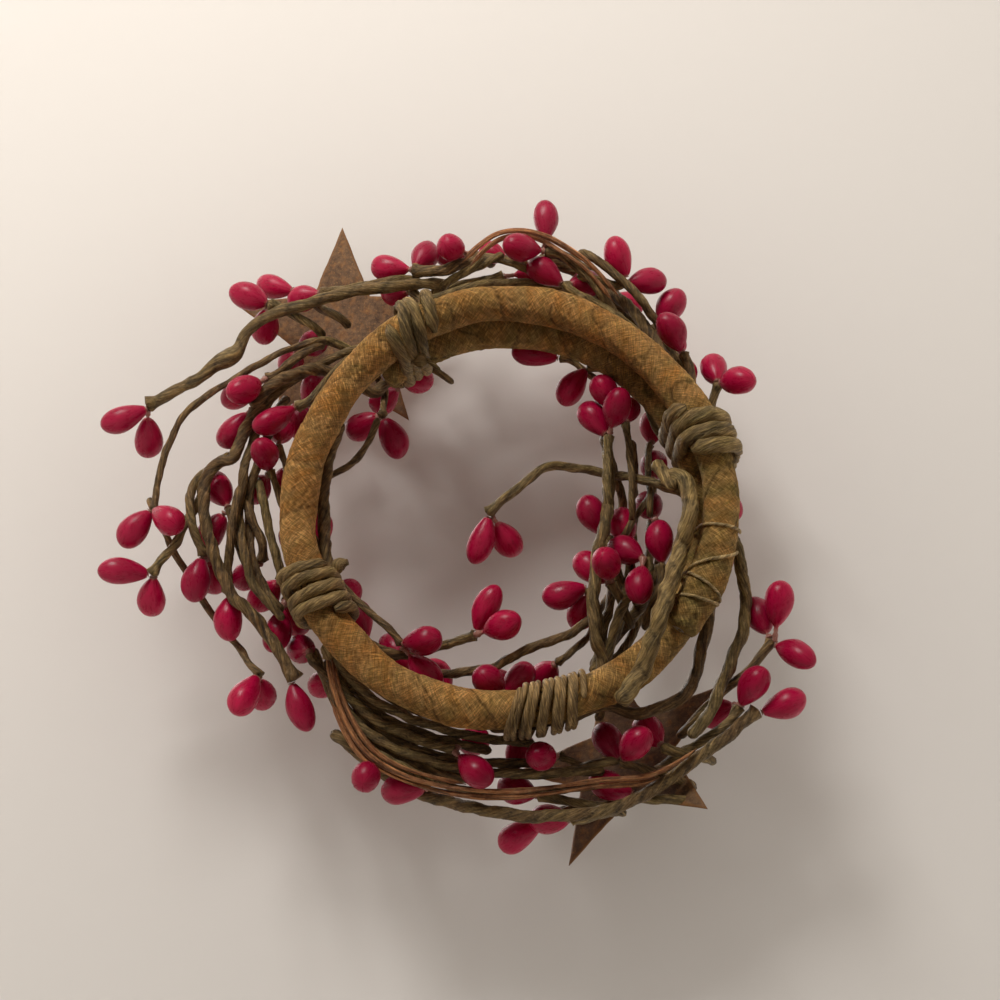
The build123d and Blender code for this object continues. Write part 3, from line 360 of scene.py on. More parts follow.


# Paper: mottled, ridged and fibrous. The mark tone leads from the first pair of colours to the other pair. The
# surface's height is the fibres' plus a share of the creases'.
# The colour carries painted shade in grooves and creases and a painted highlight on ridges.
def paperMaterial(name, look):
    material, tree, into = newMaterial(name, Roughness=look["roughness"], Specular_IOR_Level=look["sheen"])
    wrap = readMark(tree, "wrap", "Vector")
    spots = {"Vector": wrap, "Spot": look["spot"], "Rarity": look["rarity"]}
    base = placeGroup(tree, mottle, Scale=look["patches"], First=look["first"], Second=look["second"], **spots)
    other = placeGroup(tree, mottle, Scale=look["patches"] * 1.6, First=look["otherFirst"],
                       Second=look["otherSecond"], **spots)
    toned = mixColours(tree, readMark(tree, "tone"), base, other)
    height = placeGroup(tree, fibres, Vector=wrap, Scale=look["fibreScale"], Stretch=look["fibreStretch"],
                        Sharpness=1.6)
    creases = placeGroup(tree, crinkle, Vector=readMark(tree, look["creaseMark"], "Vector"),
                         Scale=look["creaseScale"], Stretch=look["creaseStretch"])
    streaks = remap(tree, height, (0.15, 0.55), (1 - look["streak"], 1 + look["streak"] * 0.6))
    # painted shade and highlight: the relief group darkens the grooves and lightens the ridges
    paintedShading = placeGroup(tree, relief, Color=scaled(tree, toned, streaks), Ridge=readMark(tree, "ridge"),
                      Groove=look["grooveShade"], Lift=look["lift"])
    # painted shade: the colour darkens along the creases and is lifted a little between them
    creased = remap(tree, creases, wanted=(1 - look["creaseShade"], 1.15))
    tree.links.new(scaled(tree, paintedShading, creased), into["Base Color"])
    summed = calculate(tree, "MULTIPLY_ADD", creases, look["creaseShare"], height)
    tree.links.new(bumpFrom(tree, summed, look), into["Normal"])
    return material


# The rope hoop: orange-tan crepe paper, wound on a slant, ragged at the lower end, with green patina near the
# ties and on the overlapped end. Windings are turns of the slant per metre.
hoop = {
    "radius": 4.4 * mm, "opening": 44.5 * mm, "spacing": 0.5 * mm, "columns": 88, "windings": 46,
    "underPaper": 0.1 * mm, "stripWidth": 13 * mm, "seamStep": 0.12 * mm, "seamDip": 0.1 * mm,
    "seamEdge": 0.035, "seamWander": (0.22, 6, (0, 2), (8, 40)),
    "creaseHeight": 0.09 * mm, "patches": (0.4, 8, (0, 4), (20, 120)),
    "wrinkles": (1, 24, (3, 9), (60, 420)), "backWrinkles": (0.7, 20, (3, 9), (60, 420)),
    "fineWrinkles": (0.05 * mm, 20, (8, 20), (100, 700)), "bulges": (0.24 * mm, 7, (0, 2), (15, 90)),
    "ragged": 0.30 * mm, "raggedLength": 2.6 * mm, "flare": 0.4, "tears": (1, 8, (2, 7), (60, 300)),
    "cutRounding": 0.7 * mm, "endRounding": 1.6 * mm,
    # grooveDepth and the slow ripples after it set the painted shade in the seams' dip; they change the colour
    # only
    "mottling": (0.22, 8, (0, 3), (20, 200)), "grooveDepth": 0.3, "seamShading": (0.65, 6, (0, 2), (20, 90)),
    # angle in degrees along the hoop, then how green the paper is there
    "patina": [(38, 0.85), (25, 0.75), (5, 0.45), (-14, 0.85), (-22, 0.7), (-34, 0.25), (-60, 0.1),
               (-106, 0.35), (-118, 0.6), (-130, 0.15), (-190, 0.05), (-206, 0.4), (-222, 0.1), (-262, 0.25),
               (-285, 0.6), (-300, 0.3), (-325, 0.7), (-345, 0.85), (-400, 0.75), (-450, 0.6), (-492, 0.9)],
}
hoopLook = {
    "roughness": 0.8, "sheen": 0.2, "patches": 150, "first": (0.68, 0.310, 0.075),
    "second": (0.86, 0.480, 0.165), "spot": (0.42, 0.27, 0.070), "rarity": 0.54,
    "otherFirst": (0.29, 0.210, 0.058), "otherSecond": (0.54, 0.365, 0.125),
    "fibreScale": 2600, "fibreStretch": 0.24, "streak": 0.42, "grooveShade": 0.6, "lift": 0.35,
    "bump": 1.0, "bumpDepth": 0.4 * mm,
    "creaseMark": "backWrap", "creaseScale": 1750, "creaseStretch": 0.27,
    "creaseShade": 0.4, "creaseShare": 0.5,
}
wireMiddles = ringsOf("hoop_wire", 6)[0][0]
if wireMiddles[0][2] > wireMiddles[-1][2]:
    wireMiddles = wireMiddles[::-1]
hoopLine, hoopAlong = smoothLine(wireMiddles, hoop["spacing"])
hoopAngles = np.degrees(np.unwrap(np.arctan2(hoopLine[:, 1], hoopLine[:, 0])))
print("hoop line is", round(hoopAlong[-1] / mm), "mm long, up to", round(hoopAngles[-1]), "degrees")


# The hoop's middle line at angles along it, which fall as the rope runs on.
def strandAt(angles):
    return np.stack([np.interp(-angles, -hoopAngles, hoopLine[:, k]) for k in range(3)], axis=-1)


# The rope's skin: the reach from the middle line is the radius, bulges, creases (1 minus the size of ripples
# that cross both ways), fine ripples and the seam's step added up, less its dip, times the ends' rounding.
def makeHoop():
    chance = seeded(11)
    along, turn = sheetOver(hoopAlong, hoop["columns"])

    def waves(label, across=turn):
        return ripples(chance, along, across, *hoop[label])

    wander = waves("seamWander")
    step, dip = seamShape(along / hoop["stripWidth"] - turn / fullTurn + wander, hoop["seamEdge"])
    winding = fullTurn * hoop["windings"] * along
    slant = turn - winding
    wrinkles = waves("wrinkles", slant) + waves("backWrinkles", turn + winding)
    height = (1 - np.abs(wrinkles)) * (0.6 + waves("patches")) * hoop["creaseHeight"]
    height += waves("fineWrinkles", slant) + (step * hoop["seamStep"] - dip * hoop["seamDip"])
    raggedness = np.exp(-along / hoop["raggedLength"]) * hoop["ragged"]
    bulge = waves("bulges") + raggedness * (hoop["flare"] + waves("tears"))
    fromEnd = np.minimum(along / hoop["cutRounding"], (hoopAlong[-1] - along) / hoop["endRounding"])
    reach = (hoop["radius"] - hoop["underPaper"] + bulge + height) * quarterRound(fromEnd, 0.03)
    patina = np.interp(-hoopAngles, *zip(*[(-angle, share) for angle, share in hoop["patina"]]))[:, None]
    tone = np.clip(patina + waves("mottling"), 0, 1)
    # painted shade in the seams: slow ripples set how strongly the overlap's dip darkens the ridge mark
    paintedShading = 0.35 + np.clip(waves("seamShading"), 0, hoop["seamShading"][0])
    # the ridge mark gives painted highlight on wrinkle crests and painted shade in troughs and seams
    ridge = np.clip(0.5 + height / (hoop["creaseHeight"] * 5) - hoop["grooveDepth"] * dip * paintedShading, 0, 1)
    wraps = {"wrap": wrapCoordinates(along, turn, hoop["radius"], hoop["windings"]),
             "backWrap": wrapCoordinates(along, turn, hoop["radius"], -hoop["windings"])}
    return closedPart(ringsAround(hoopLine, reach), wraps, {"tone": tone, "ridge": ridge})


addPiece("base_hoop", [makeHoop()], paperMaterial("hoopPaper", hoopLook), "hoopRope")


# A berry's rings in order from its thin root.
def rootFirst(middles, radii):
    return (middles[::-1], radii[::-1]) if radii[0] > radii[-1] else (middles, radii)


# The berries' places are read before the twigs, so that each twig knows which of its ends carries them.
berryNodes = sorted(name for name in nodes if name.endswith("_berries"))
berryRings = {name: [rootFirst(*rings) for rings in ringsOf(name, 6)] for name in berryNodes}
berryRoots = np.array([middles[0] for rings in berryRings.values() for middles, _ in rings])
print("berries read:", len(berryRoots))

# Twigs: paper twisted round wire, each with its own twist and tone. The foot is led on a little, back into the
# bundle, and the paper is torn and thicker where the berries' wires come out. Heights are shares of the twig's
# radius, the lay is in turns per metre.
twigs = {
    "spacing": 0.6 * mm, "columns": 18, "lay": (14, 60), "body": 0.93,
    "strandHeight": 0.04, "strands": (1, 6, (2, 5), (0, 30)),
    "grainHeight": 0.045, "grain": (1, 8, (5, 8), (0, 90)),
    "lumps": (0.07, 6, (0, 2), (40, 250)), "tapeWidth": (5 * mm, 9 * mm), "tapeStep": 0.07, "tapeEdge": 0.06,
    "waver": (0.14 * mm, 5, (0, 1), (20, 110)), "stillEnds": 4 * mm, "berryNear": 1.5 * mm,
    "collarLength": 3.2 * mm, "collar": 0.36, "tears": (0.30, 6, (1, 5), (60, 400)),
    "tornLead": 0.7 * mm, "tornTaper": 0.3 * mm, "tipTaper": 1.2 * mm, "shading": (0.2, 5, (0, 2), (10, 120)),
    # the foot's run: millimetres ahead and up
    "footRun": [(2.5, 0.6), (5, 2.2), (6.5, 4.4)],
    # swellings of torn paper: place, half length, how much thicker the twig is
    "swellings": [(np.array([-68.4, -38.2, 14.6]) * mm, 3.2 * mm, 0.55)],
}
twigLook = {
    "roughness": 0.6, "sheen": 0.25, "patches": 260, "first": (0.120, 0.066, 0.026),
    "second": (0.235, 0.140, 0.058), "spot": (0.38, 0.26, 0.13), "rarity": 0.57,
    "otherFirst": (0.165, 0.115, 0.038), "otherSecond": (0.320, 0.228, 0.095),
    "fibreScale": 2600, "fibreStretch": 0.1, "streak": 0.6, "grooveShade": 0.9, "lift": 0.8,
    "bump": 0.9, "bumpDepth": 0.25 * mm,
    "creaseMark": "wrap", "creaseScale": 1500, "creaseStretch": 0.2, "creaseShade": 0.3, "creaseShare": 0.5,
}
brownLook = twigLook | {"first": (0.27, 0.165, 0.064), "second": (0.44, 0.285, 0.115),
                        "otherFirst": (0.31, 0.225, 0.085), "otherSecond": (0.52, 0.38, 0.16)}
# Twigs behind the others that close the bundles: half thickness in millimetres, then the route as angle,
# millimetres from the middle and millimetres up.
closing = {
    "lower_bundle": [
        (1.15, [(152, 50.4, 16.6), (140, 50.8, 16.8), (125, 52, 16.8), (110, 51.6, 16.6), (96, 51.4, 16.8)]),
        (1.15, [(146, 50.8, 18.5), (133, 54.4, 17.2), (120, 56.4, 17), (108, 56, 17), (94, 56.6, 17.4)]),
        (1.2, [(140, 53.2, 17.6), (130, 57.2, 17), (120, 59.9, 17), (109, 59.9, 17), (97, 59.6, 17.2),
               (84, 59.4, 17)]),
        (1.2, [(138, 55.6, 18), (128, 60.6, 17.6), (118, 63.5, 17.4), (107, 63.4, 17.2), (95, 63.8, 17.4)]),
        (0.9, [(136, 58, 16.4), (126, 62.4, 16.6), (113, 65, 18.6), (98, 65.8, 18.4), (84, 66.2, 17.6),
               (72, 67.5, 17.6)]),
    ],
    "left_inner": [
        (1.55, [(208, 45.4, 12.5), (196, 44.3, 12.3), (183, 43.7, 12), (170, 43.7, 12), (158, 44.8, 12.5)]),
    ],
}
closingTone = 0.25
wrapTwigStart = [(-11, 38.2, 11.5), (-10, 40, 10), (-7, 41.4, 8.6)]  # wrap_twig's upper end, as such a route


# Points added before the first one: straight on by the run's lengths, and up by its heights.
def leadFootOn(middles):
    away = unitRows(middles[0] - middles[1])
    run = [middles[0] + away * ahead * mm + np.array([0, 0, up * mm]) for ahead, up in twigs["footRun"]]
    return np.vstack([run[::-1], middles])


# A twig's skin: the reach is its radius times body plus height, times the ends' rounding. The height adds up
# ripples along the twist, lumps, the tape's step, the collar, which grows to the torn end by the power 1.5 of
# the share of its length, and each swelling's bell, exp(-(distance / half length) squared).
def twigPart(chance, middles, radius, tone, withFoot=True):
    reaches = [np.linalg.norm(berryRoots - end, axis=1).min() for end in (middles[0], middles[-1])]
    if reaches[0] < reaches[1]:
        middles, reaches = middles[::-1], reaches[::-1]
    carries = reaches[1] < twigs["berryNear"] + radius
    if withFoot:
        middles = leadFootOn(middles)
    if carries:
        middles = np.vstack([middles, middles[-1] + unitRows(middles[-1] - middles[-2]) * twigs["tornLead"]])
    line, run = smoothLine(middles, twigs["spacing"])
    along, turn = sheetOver(run, twigs["columns"])

    def waves(label, across=turn):
        return ripples(chance, along, across, *twigs[label])

    toEnd = run[-1] - along
    fade = np.minimum(1, np.minimum(along, toEnd) / twigs["stillEnds"])
    line = line + waverOf(chance, along, twigs["waver"]) * fade
    lay = chance.uniform(*twigs["lay"]) * chance.choice([-1, 1])
    slant = turn + fullTurn * lay * along
    strands, grain = waves("strands", slant), waves("grain", slant)
    height = twigs["strandHeight"] * strands + twigs["grainHeight"] * grain + waves("lumps")
    step, dip = seamShape(along / chance.uniform(*twigs["tapeWidth"]) + turn / fullTurn, twigs["tapeEdge"])
    collar = carries * np.clip(1 - toEnd / twigs["collarLength"], 0, 1) ** 1.5
    height += step * twigs["tapeStep"] + collar * (twigs["collar"] + waves("tears"))
    for spot, halfLength, share in twigs["swellings"]:
        away = np.linalg.norm(line - spot, axis=1)[:, None]
        height += share * np.exp(-(away / halfLength) ** 2)
    fromEnd = np.minimum(along / twigs["tipTaper"], toEnd / twigs["tornTaper" if carries else "tipTaper"])
    reach = radius * (twigs["body"] + height) * quarterRound(fromEnd, 0.1)
    # the ridge mark sets painted highlight on strands and grain and painted shade in the tape's dip and
    # grooves
    ridge = np.clip(0.5 + 0.12 * strands + 0.16 * grain + 0.15 * step - 0.3 * dip, 0, 1)
    shade = np.clip(tone + waves("shading"), 0, 1)
    wrap = wrapCoordinates(along + chance.uniform(0, 1), turn, radius, -lay)
    return closedPart(ringsAround(line, reach), {"wrap": wrap}, {"tone": shade, "ridge": ridge})


oliveWrap, brownWrap = paperMaterial("oliveWrap", twigLook), paperMaterial("brownWrap", brownLook)
sprayNames = sorted(name.removesuffix("_twigs") for name in nodes if name.endswith("_twigs"))
for number, spray in enumerate(sprayNames):
    chance = seeded(100 + number)
    parts = [twigPart(chance, middles, radii.mean(), chance.uniform(0, 1))
             for middles, radii in ringsOf(spray + "_twigs", 6) + ringsOf(spray + "_twigs", 5)]
    parts += [twigPart(chance, polarLine(route), half * mm, closingTone, False)
              for half, route in closing.get(spray, [])]
    addPiece(spray + "_twigs", parts, oliveWrap)
for name in ("wrap_twig", "short_cord"):
    middles, radii = ringsOf(name, 6)[0]
    if name == "wrap_twig":
        middles = middles if middles[0][1] < middles[-1][1] else middles[::-1]
        middles = np.vstack([polarLine(wrapTwigStart), middles])
    part = twigPart(seeded(len(name)), middles, radii.mean(), 0.6, False)
    addPiece(name, [part], brownWrap)

# Berries: each a wire in twisted paper that flares into its own drop. Ranges are drawn from for each berry.
berries = {
    "columns": 16, "wireRows": 7, "bodyRows": 17, "widest": (0.5, 0.64), "neck": (0.2, 0.3),
    "risePower": (0.72, 1.0), "wireRadius": 0.42 * mm, "paperRadius": 0.95 * mm, "paperTwist": (0.7, 1.2),
    "lean": 0.035, "flutes": (0.018, 5, (2, 5), (0.1, 0.7)), "dents": (0.02, 3, (1, 2), (0.4, 1.2)),
}
berryLook = {
    "sheen": 0.42, "ior": 1.4, "roughness": (0.2, 0.46), "deep": (0.17, 0.001, 0.020),
    "deepest": 0.55, "frost": (0.52, 0.13, 0.13), "bump": 0.3, "bumpDepth": 0.25 * mm,
    "skin": {"Scale": 1.3, "First": (0.35, 0.0015, 0.034), "Second": (0.48, 0.003, 0.054),
             "Spot": (0.22, 0.001, 0.018), "Rarity": 0.58},
    "paper": {"Scale": 5.0, "First": (0.42, 0.20, 0.15), "Second": (0.22, 0.07, 0.05),
              "Spot": (0.62, 0.45, 0.38), "Rarity": 0.5},
}


# A berry's skin: at share t of the body the half width is, up to the widest place, the neck plus a power of a
# sine's rise, and past it an ellipse, times a few soft flutes. The middle line leans by 4 t (1 - t).
def berryPart(chance, middles, radii):
    root, neck, tip = middles[0], middles[1], middles[-1]
    length, wire, wireRows = np.linalg.norm(tip - neck), np.linalg.norm(neck - root), berries["wireRows"]
    t = (1 - np.cos(np.linspace(0, 1, berries["bodyRows"]) * math.pi)) / 2
    widest, thin, power = (chance.uniform(*berries[key]) for key in ("widest", "neck", "risePower"))
    rise = thin + (1 - thin) * np.sin(np.clip(t / widest, 0, 1) * math.pi / 2) ** power
    dome = np.sqrt(np.clip(1 - ((t - widest) / (1 - widest)) ** 2, 0.002, 1))
    paper = np.linspace(berries["paperRadius"], berries["wireRadius"], wireRows)
    paper *= chance.uniform(*berries["paperTwist"], wireRows)
    half = np.append(paper, np.where(t < widest, rise, dome) * radii.max())
    stations = np.append(np.linspace(0, wire, wireRows, endpoint=False), wire + t * length)
    share = np.append(np.linspace(-1, 0, wireRows, endpoint=False), t)
    axis = (tip - neck) / length
    sideways = unitRows(np.cross(axis, chance.normal(size=3)))
    inBody = np.clip(share, 0, 1)
    bend = (4 * inBody * (1 - inBody) * berries["lean"] * length)[:, None] * sideways
    along, turn = sheetOver(share, berries["columns"])
    flutes = 1 + sum(ripples(chance, along, turn, *berries[label]) for label in ("flutes", "dents"))
    grid = ringsAround(root + stations[:, None] * axis, half[:, None] * flutes, sideways) + bend[:, None, :]
    wrap = stacked(np.cos(turn), np.sin(turn), 1.5 * along) + chance.uniform(0, 50, size=3)
    return closedPart(grid, {"wrap": wrap}, {"along": along, "tone": chance.uniform(0, 1)})


# Dipped lacquer: mottled crimson, deeper on some berries, frosted near the neck, and pink paper on the wire.
def berryMaterial():
    sockets = {"IOR": berryLook["ior"], "Specular_IOR_Level": berryLook["sheen"]}
    material, tree, into = newMaterial("berryLacquer", **sockets)
    wrap, along = readMark(tree, "wrap", "Vector"), readMark(tree, "along")
    skin = placeGroup(tree, mottle, Vector=wrap, **berryLook["skin"])
    share = calculate(tree, "MULTIPLY", readMark(tree, "tone"), berryLook["deepest"])
    deep = mixColours(tree, share, skin, berryLook["deep"])
    noise = put(tree, "TexNoise", {"Vector": wrap, "Scale": 2.6, "Detail": 5, "Roughness": 0.7})
    frosted = calculate(tree, "MULTIPLY", remap(tree, along, (0.09, 0)), noise)
    pale = mixColours(tree, remap(tree, frosted, (0.38, 0.66)), deep, berryLook["frost"])
    paper = placeGroup(tree, mottle, Vector=wrap, **berryLook["paper"])
    tree.links.new(mixColours(tree, remap(tree, along, (-0.12, -0.3)), pale, paper), into["Base Color"])
    tree.links.new(remap(tree, noise, (0.35, 0.7), berryLook["roughness"]), into["Roughness"])
    tree.links.new(bumpFrom(tree, noise, berryLook), into["Normal"])
    return material


berryLacquer = berryMaterial()
for number, (node, rings) in enumerate(berryRings.items()):
    chance = seeded(300 + number)
    parts = [berryPart(chance, middles, radii) for middles, radii in rings]
    addPiece(node, parts, berryLacquer)

# Ties: creased paper cord wound round the hoop's lower strand and what lies on it. The solid's own cord is
# given apart, because the load's top is read from the solid. The slope slants the turns on the seen side.
ties = {
    "right_tie": {"turns": 3.1, "cord": 3.2 * mm, "solidCord": 3.2 * mm, "slope": -0.37,
                  "look": {"wide": 1.3, "flat": 0.82, "tone": 0.6}},
    "top_left_tie": {"turns": 3.2, "cord": 3.1 * mm, "solidCord": 3.0 * mm, "slope": -0.35,
                     "look": {"wide": 1.0, "flat": 0.95, "tone": 0.6}},
    "left_tie": {"turns": 4.1, "cord": 2.85 * mm, "solidCord": 2.8 * mm, "slope": -0.22,
                 "look": {"wide": 1.05, "flat": 0.92, "tone": 0.4}},
    "bottom_tie": {"turns": 10.2, "cord": 1.55 * mm, "solidCord": 1.7 * mm, "slope": -1.2,
                   "look": {"wide": 1.0, "flat": 0.95, "tone": 0.0}},
}
cord = {
    "spacing": 0.35 * mm, "columns": 18, "smoothing": 9, "body": 0.9, "layLength": 9, "loadGap": 0.3 * mm,
    "flatten": 0.9, "waver": (0.18, 5, (0, 0), (1, 6)), "gap": 0.1 * mm, "pitch": 1.04, "advance": 0.8,
    "firstPhase": 0.6, "stepsPerTurn": 48, "layWaver": (0.5, 5, (0, 0), (10, 90)),
    "foldHeight": 0.1, "folds": (1, 6, (2, 4), (0, 25)),
    "grainHeight": 0.04, "grain": (1, 12, (4, 8), (10, 160)),
    "lumps": (0.06, 6, (0, 2), (40, 300)), "shading": (0.2, 6, (0, 2), (20, 200)),
}
cordLook = twigLook | {"first": (0.36, 0.225, 0.090), "second": (0.58, 0.385, 0.170),
                       "otherFirst": (0.170, 0.128, 0.044), "otherSecond": (0.345, 0.255, 0.102),
                       "patches": 220, "grooveShade": 0.8, "lift": 0.6}
# Knots, cut ends and the small collar under the left tie: from place to place, each as angle, millimetres from
# the middle and millimetres up, then the thickness in millimetres.
knots = {
    "left_tie": [((158, 44.5, 6.5), (158, 39.6, 5), 3.2), ((142.4, 51.8, 12.4), (139.2, 55.3, 13.3), 4.4)],
    "top_left_tie": [((-121, 44, 8), (-121, 39, 8), 3.6), ((-119, 41, 8), (-116.3, 36.4, 9), 1.1)],
    "right_tie": [((-20, 49, 4), (-23.5, 53.2, 4.5), 2.6)],
    "bottom_tie": [((83, 48.6, 3), (86, 52, 6), 2.2)],
}
knotForm = {"stations": 24, "waver": (0.12 * mm, 3, (0, 0), (0.5, 2)), "lay": 9 * mm, "wide": 1.1, "flat": 1.0}


# Winding round the strands: at phase p the point lies reach times (-cos p outward, -sin p up) from the lower
# strand's middle, or in the turn's upper half from the upper strand's or the one lifted to topHeight.
def loopPoints(angles, phases, reach, topHeight=None):
    low = strandAt(angles)
    high = strandAt(angles - 360) if topHeight is None else low * [1, 1, 0] + [0, 0, topHeight]
    middle = np.where((phases % fullTurn > math.pi)[:, None], high, low)
    outward = unitRows(low * [1, 1, 0])
    return middle - reach * (np.cos(phases)[:, None] * outward + np.sin(phases)[:, None] * [0, 0, 1])


# A cord's skin round a path that a short bell evens out: the reach is the radius times an oval, a taper at the
# ends, and body plus folds (1 minus the size of ripples along the lay), grain and lumps.
def cordPart(chance, path, radius, look):
    line, run = evenLine(path, cord["spacing"])
    bell = np.hanning(cord["smoothing"])
    padded = np.pad(line, ((cord["smoothing"] // 2,) * 2, (0, 0)), mode="edge")
    line = np.stack([np.convolve(padded[:, k], bell / bell.sum(), mode="valid") for k in range(3)], axis=1)
    along, turn = sheetOver(run, cord["columns"])

    def waves(label, across=turn):
        return ripples(chance, along, across, *cord[label])

    slant = turn + fullTurn * along / look["lay"] + waves("layWaver", 0)
    folds = 1 - np.abs(waves("folds", slant))
    grain = waves("grain", slant)
    height = cord["foldHeight"] * folds + cord["grainHeight"] * grain + waves("lumps")
    taper = np.clip(np.minimum(along, run[-1] - along) / (1.5 * radius), 0.25, 1) ** 0.5
    oval = look["wide"] * look["flat"] / np.hypot(look["wide"] * np.cos(turn), look["flat"] * np.sin(turn))
    reach = radius * (cord["body"] + height) * taper * oval
    # the ridge mark sets painted highlight on the folds' crests and painted shade between them
    ridge = np.clip(0.3 + 0.4 * folds + 0.12 * grain, 0, 1)
    tone = np.clip(look["tone"] + waves("shading"), 0, 1)
    wrap = wrapCoordinates(along, turn, radius, -1 / look["lay"])
    alongHoop = np.cross(unitRows(line * [1, 1, 0]), [0, 0, 1.0])
    return closedPart(ringsAround(line, reach, alongHoop), {"wrap": wrap}, {"tone": tone, "ridge": ridge})


# A tie's windings: the place along the hoop runs evenly with the turns, plus a cosine of the phase that slants
# them on the seen side, plus a small waver.
def tiePart(chance, name, facts):
    low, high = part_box(name)
    angle = math.degrees(math.atan2((low.y + high.y) / 2, (low.x + high.x) / 2))
    angle -= 360 if angle > hoopAngles[0] else 0
    turns = facts["turns"]
    phases = np.linspace(0, turns * fullTurn, round(turns * cord["stepsPerTurn"]) + 1) + cord["firstPhase"]
    t = phases / fullTurn / turns
    slanting = np.cos(phases) * (facts["slope"] - cord["advance"] / fullTurn)
    pitch = math.degrees(facts["cord"] * cord["pitch"] / (hoop["radius"] + hoop["opening"]))
    angles = angle + pitch * (turns * (0.5 - t) + slanting + ripples(chance, t, 0, *cord["waver"]))
    reach = hoop["radius"] + cord["gap"] + facts["cord"] * cord["flatten"] / 2
    topHeight = high.z - hoop["radius"] - cord["loadGap"] - facts["solidCord"]
    path = loopPoints(angles, phases, reach, topHeight)
    look = facts["look"] | {"lay": facts["cord"] * cord["layLength"]}
    return cordPart(chance, path, facts["cord"] / 2, look)


# A short cord, straight from start to end but for a waver.
def knotPart(chance, start, end, thick, tone):
    path = np.linspace(*polarLine((start, end)), knotForm["stations"])
    share = np.linspace(0, 1, knotForm["stations"])[:, None]
    path += waverOf(chance, share, knotForm["waver"])
    return cordPart(chance, path, thick / 2 * mm, knotForm | {"tone": tone})


tieCord = paperMaterial("tieCord", cordLook)
for number, (name, facts) in enumerate(ties.items()):
    chance = seeded(500 + number)
    parts = [tiePart(chance, name, facts)]
    parts += [knotPart(chance, *knot, facts["look"]["tone"]) for knot in knots[name]]
    addPiece(name, parts, tieCord)

# The fine string: the route gives the turn in degrees round the strands, then the angle along the hoop.
string = {
    "route": [(0, 31), (180, 27), (360, 22.3), (540, 26.2), (720, 21.7), (900, 12.8), (1080, 7.6), (1260, 8)],
    "stations": 400, "cord": 0.8 * mm, "offPaper": 0.32 * mm,
    "look": {"wide": 1, "flat": 1, "tone": 0.1, "lay": 3 * mm},
}
stringLook = cordLook | {"first": (0.62, 0.43, 0.18), "second": (0.85, 0.63, 0.32)}
stringTurns = np.linspace(0, string["route"][-1][0], string["stations"])
stringPath = loopPoints(np.interp(stringTurns, *zip(*string["route"])), np.radians(stringTurns),
                        hoop["radius"] + string["offPaper"])
stringPart = cordPart(seeded(9), stringPath, string["cord"] / 2, string["look"])
addPiece("string", [stringPart], paperMaterial("fineString", stringLook))

# Raffia: flat fibres with fine lengthwise lines.
raffia = {
    "spacing": 0.6 * mm, "columns": 12, "wide": 0.72 * mm, "thick": 0.42 * mm, "taper": 3 * mm, "windings": 10,
    "roll": (1.4, 4, (0, 0), (3, 16)), "grooveDepth": 0.08, "grooves": (1, 8, (2, 5), (2, 30)),
    "shading": (0.4, 6, (0, 1), (8, 60)),
}
raffiaLook = twigLook | {"roughness": 0.5, "first": (0.36, 0.130, 0.046), "second": (0.58, 0.26, 0.105),
                         "otherFirst": (0.20, 0.075, 0.030), "otherSecond": (0.46, 0.21, 0.09),
                         "fibreStretch": 0.06, "grooveShade": 0.7}


# A fibre's skin: an oval that rolls over slowly along the line, with grooves, thinner towards its ends.
def raffiaPart(chance, middles):
    line, run = smoothLine(middles, raffia["spacing"])
    along, turn = sheetOver(run, raffia["columns"])
    roll = turn + ripples(chance, along, 0, *raffia["roll"])
    wide, thick = raffia["wide"], raffia["thick"]
    oval = wide * thick / np.hypot(thick * np.cos(roll), wide * np.sin(roll))
    grooves = ripples(chance, along, turn, *raffia["grooves"])
    taper = np.clip(np.minimum(along, run[-1] - along) / raffia["taper"], 0.2, 1)
    reach = oval * (1 + raffia["grooveDepth"] * grooves) * taper
    # the ridge mark sets painted highlight on the raised lines and painted shade in the grooves
    ridge = np.clip(0.5 + 0.3 * grooves, 0, 1)
    tone = np.clip(0.5 + ripples(chance, along, turn, *raffia["shading"]), 0, 1)
    wrap = wrapCoordinates(along, turn, wide, raffia["windings"])
    return closedPart(ringsAround(line, reach), {"wrap": wrap}, {"tone": tone, "ridge": ridge})


raffiaFibre = paperMaterial("raffiaFibre", raffiaLook)
for name in ("lower_raffia", "upper_raffia"):
    chance = seeded(len(name) + 20)
    parts = [raffiaPart(chance, middles) for middles, _ in ringsOf(name, 4)]
    addPiece(name, parts, raffiaFibre)

# Tin stars: flat rusted plates with soft dents and a nibbled edge.
stars = {
    "points": 5, "perEdge": 16, "rows": 26, "sheet": 0.3 * mm, "rim": 0.03,
    "nibble": (0.006, 10, (8, 60), (0, 1)), "dents": 0.16 * mm, "dentWaves": 9, "dentPitch": (-300, 300),
}
tinLook = {
    "metallic": 0.15, "sheen": 0.3, "roughness": (0.45, 0.8), "edge": (0.20, 0.09, 0.03),
    "bump": 0.6, "bumpDepth": 0.2 * mm,
    "broad": {"Scale": 170, "First": (0.085, 0.040, 0.016), "Second": (0.16, 0.085, 0.038),
              "Spot": (0.42, 0.17, 0.03), "Rarity": 0.5},
    "fine": {"Scale": 700, "First": (0.05, 0.028, 0.016), "Second": (0.20, 0.115, 0.055),
             "Spot": (0.48, 0.26, 0.08), "Rarity": 0.55},
}


# A star's middle, normal, way to one tip and reaches of tip and notch, read from the solid's corners.
def starFrame(name):
    corners = np.empty(len(nodes[name].data.vertices) * 3, np.float32)
    nodes[name].data.vertices.foreach_get("co", corners)
    corners = np.unique(np.round(corners.reshape(-1, 3) / mm, 2), axis=0) * mm
    middle = corners.mean(axis=0)
    normal = np.linalg.svd(corners - middle)[2][2]
    flat = corners - middle - np.outer((corners - middle) @ normal, normal)
    reaches = np.linalg.norm(flat, axis=1)
    return middle, normal, flat[reaches.argmax()] / reaches.max(), reaches.max(), reaches.min()


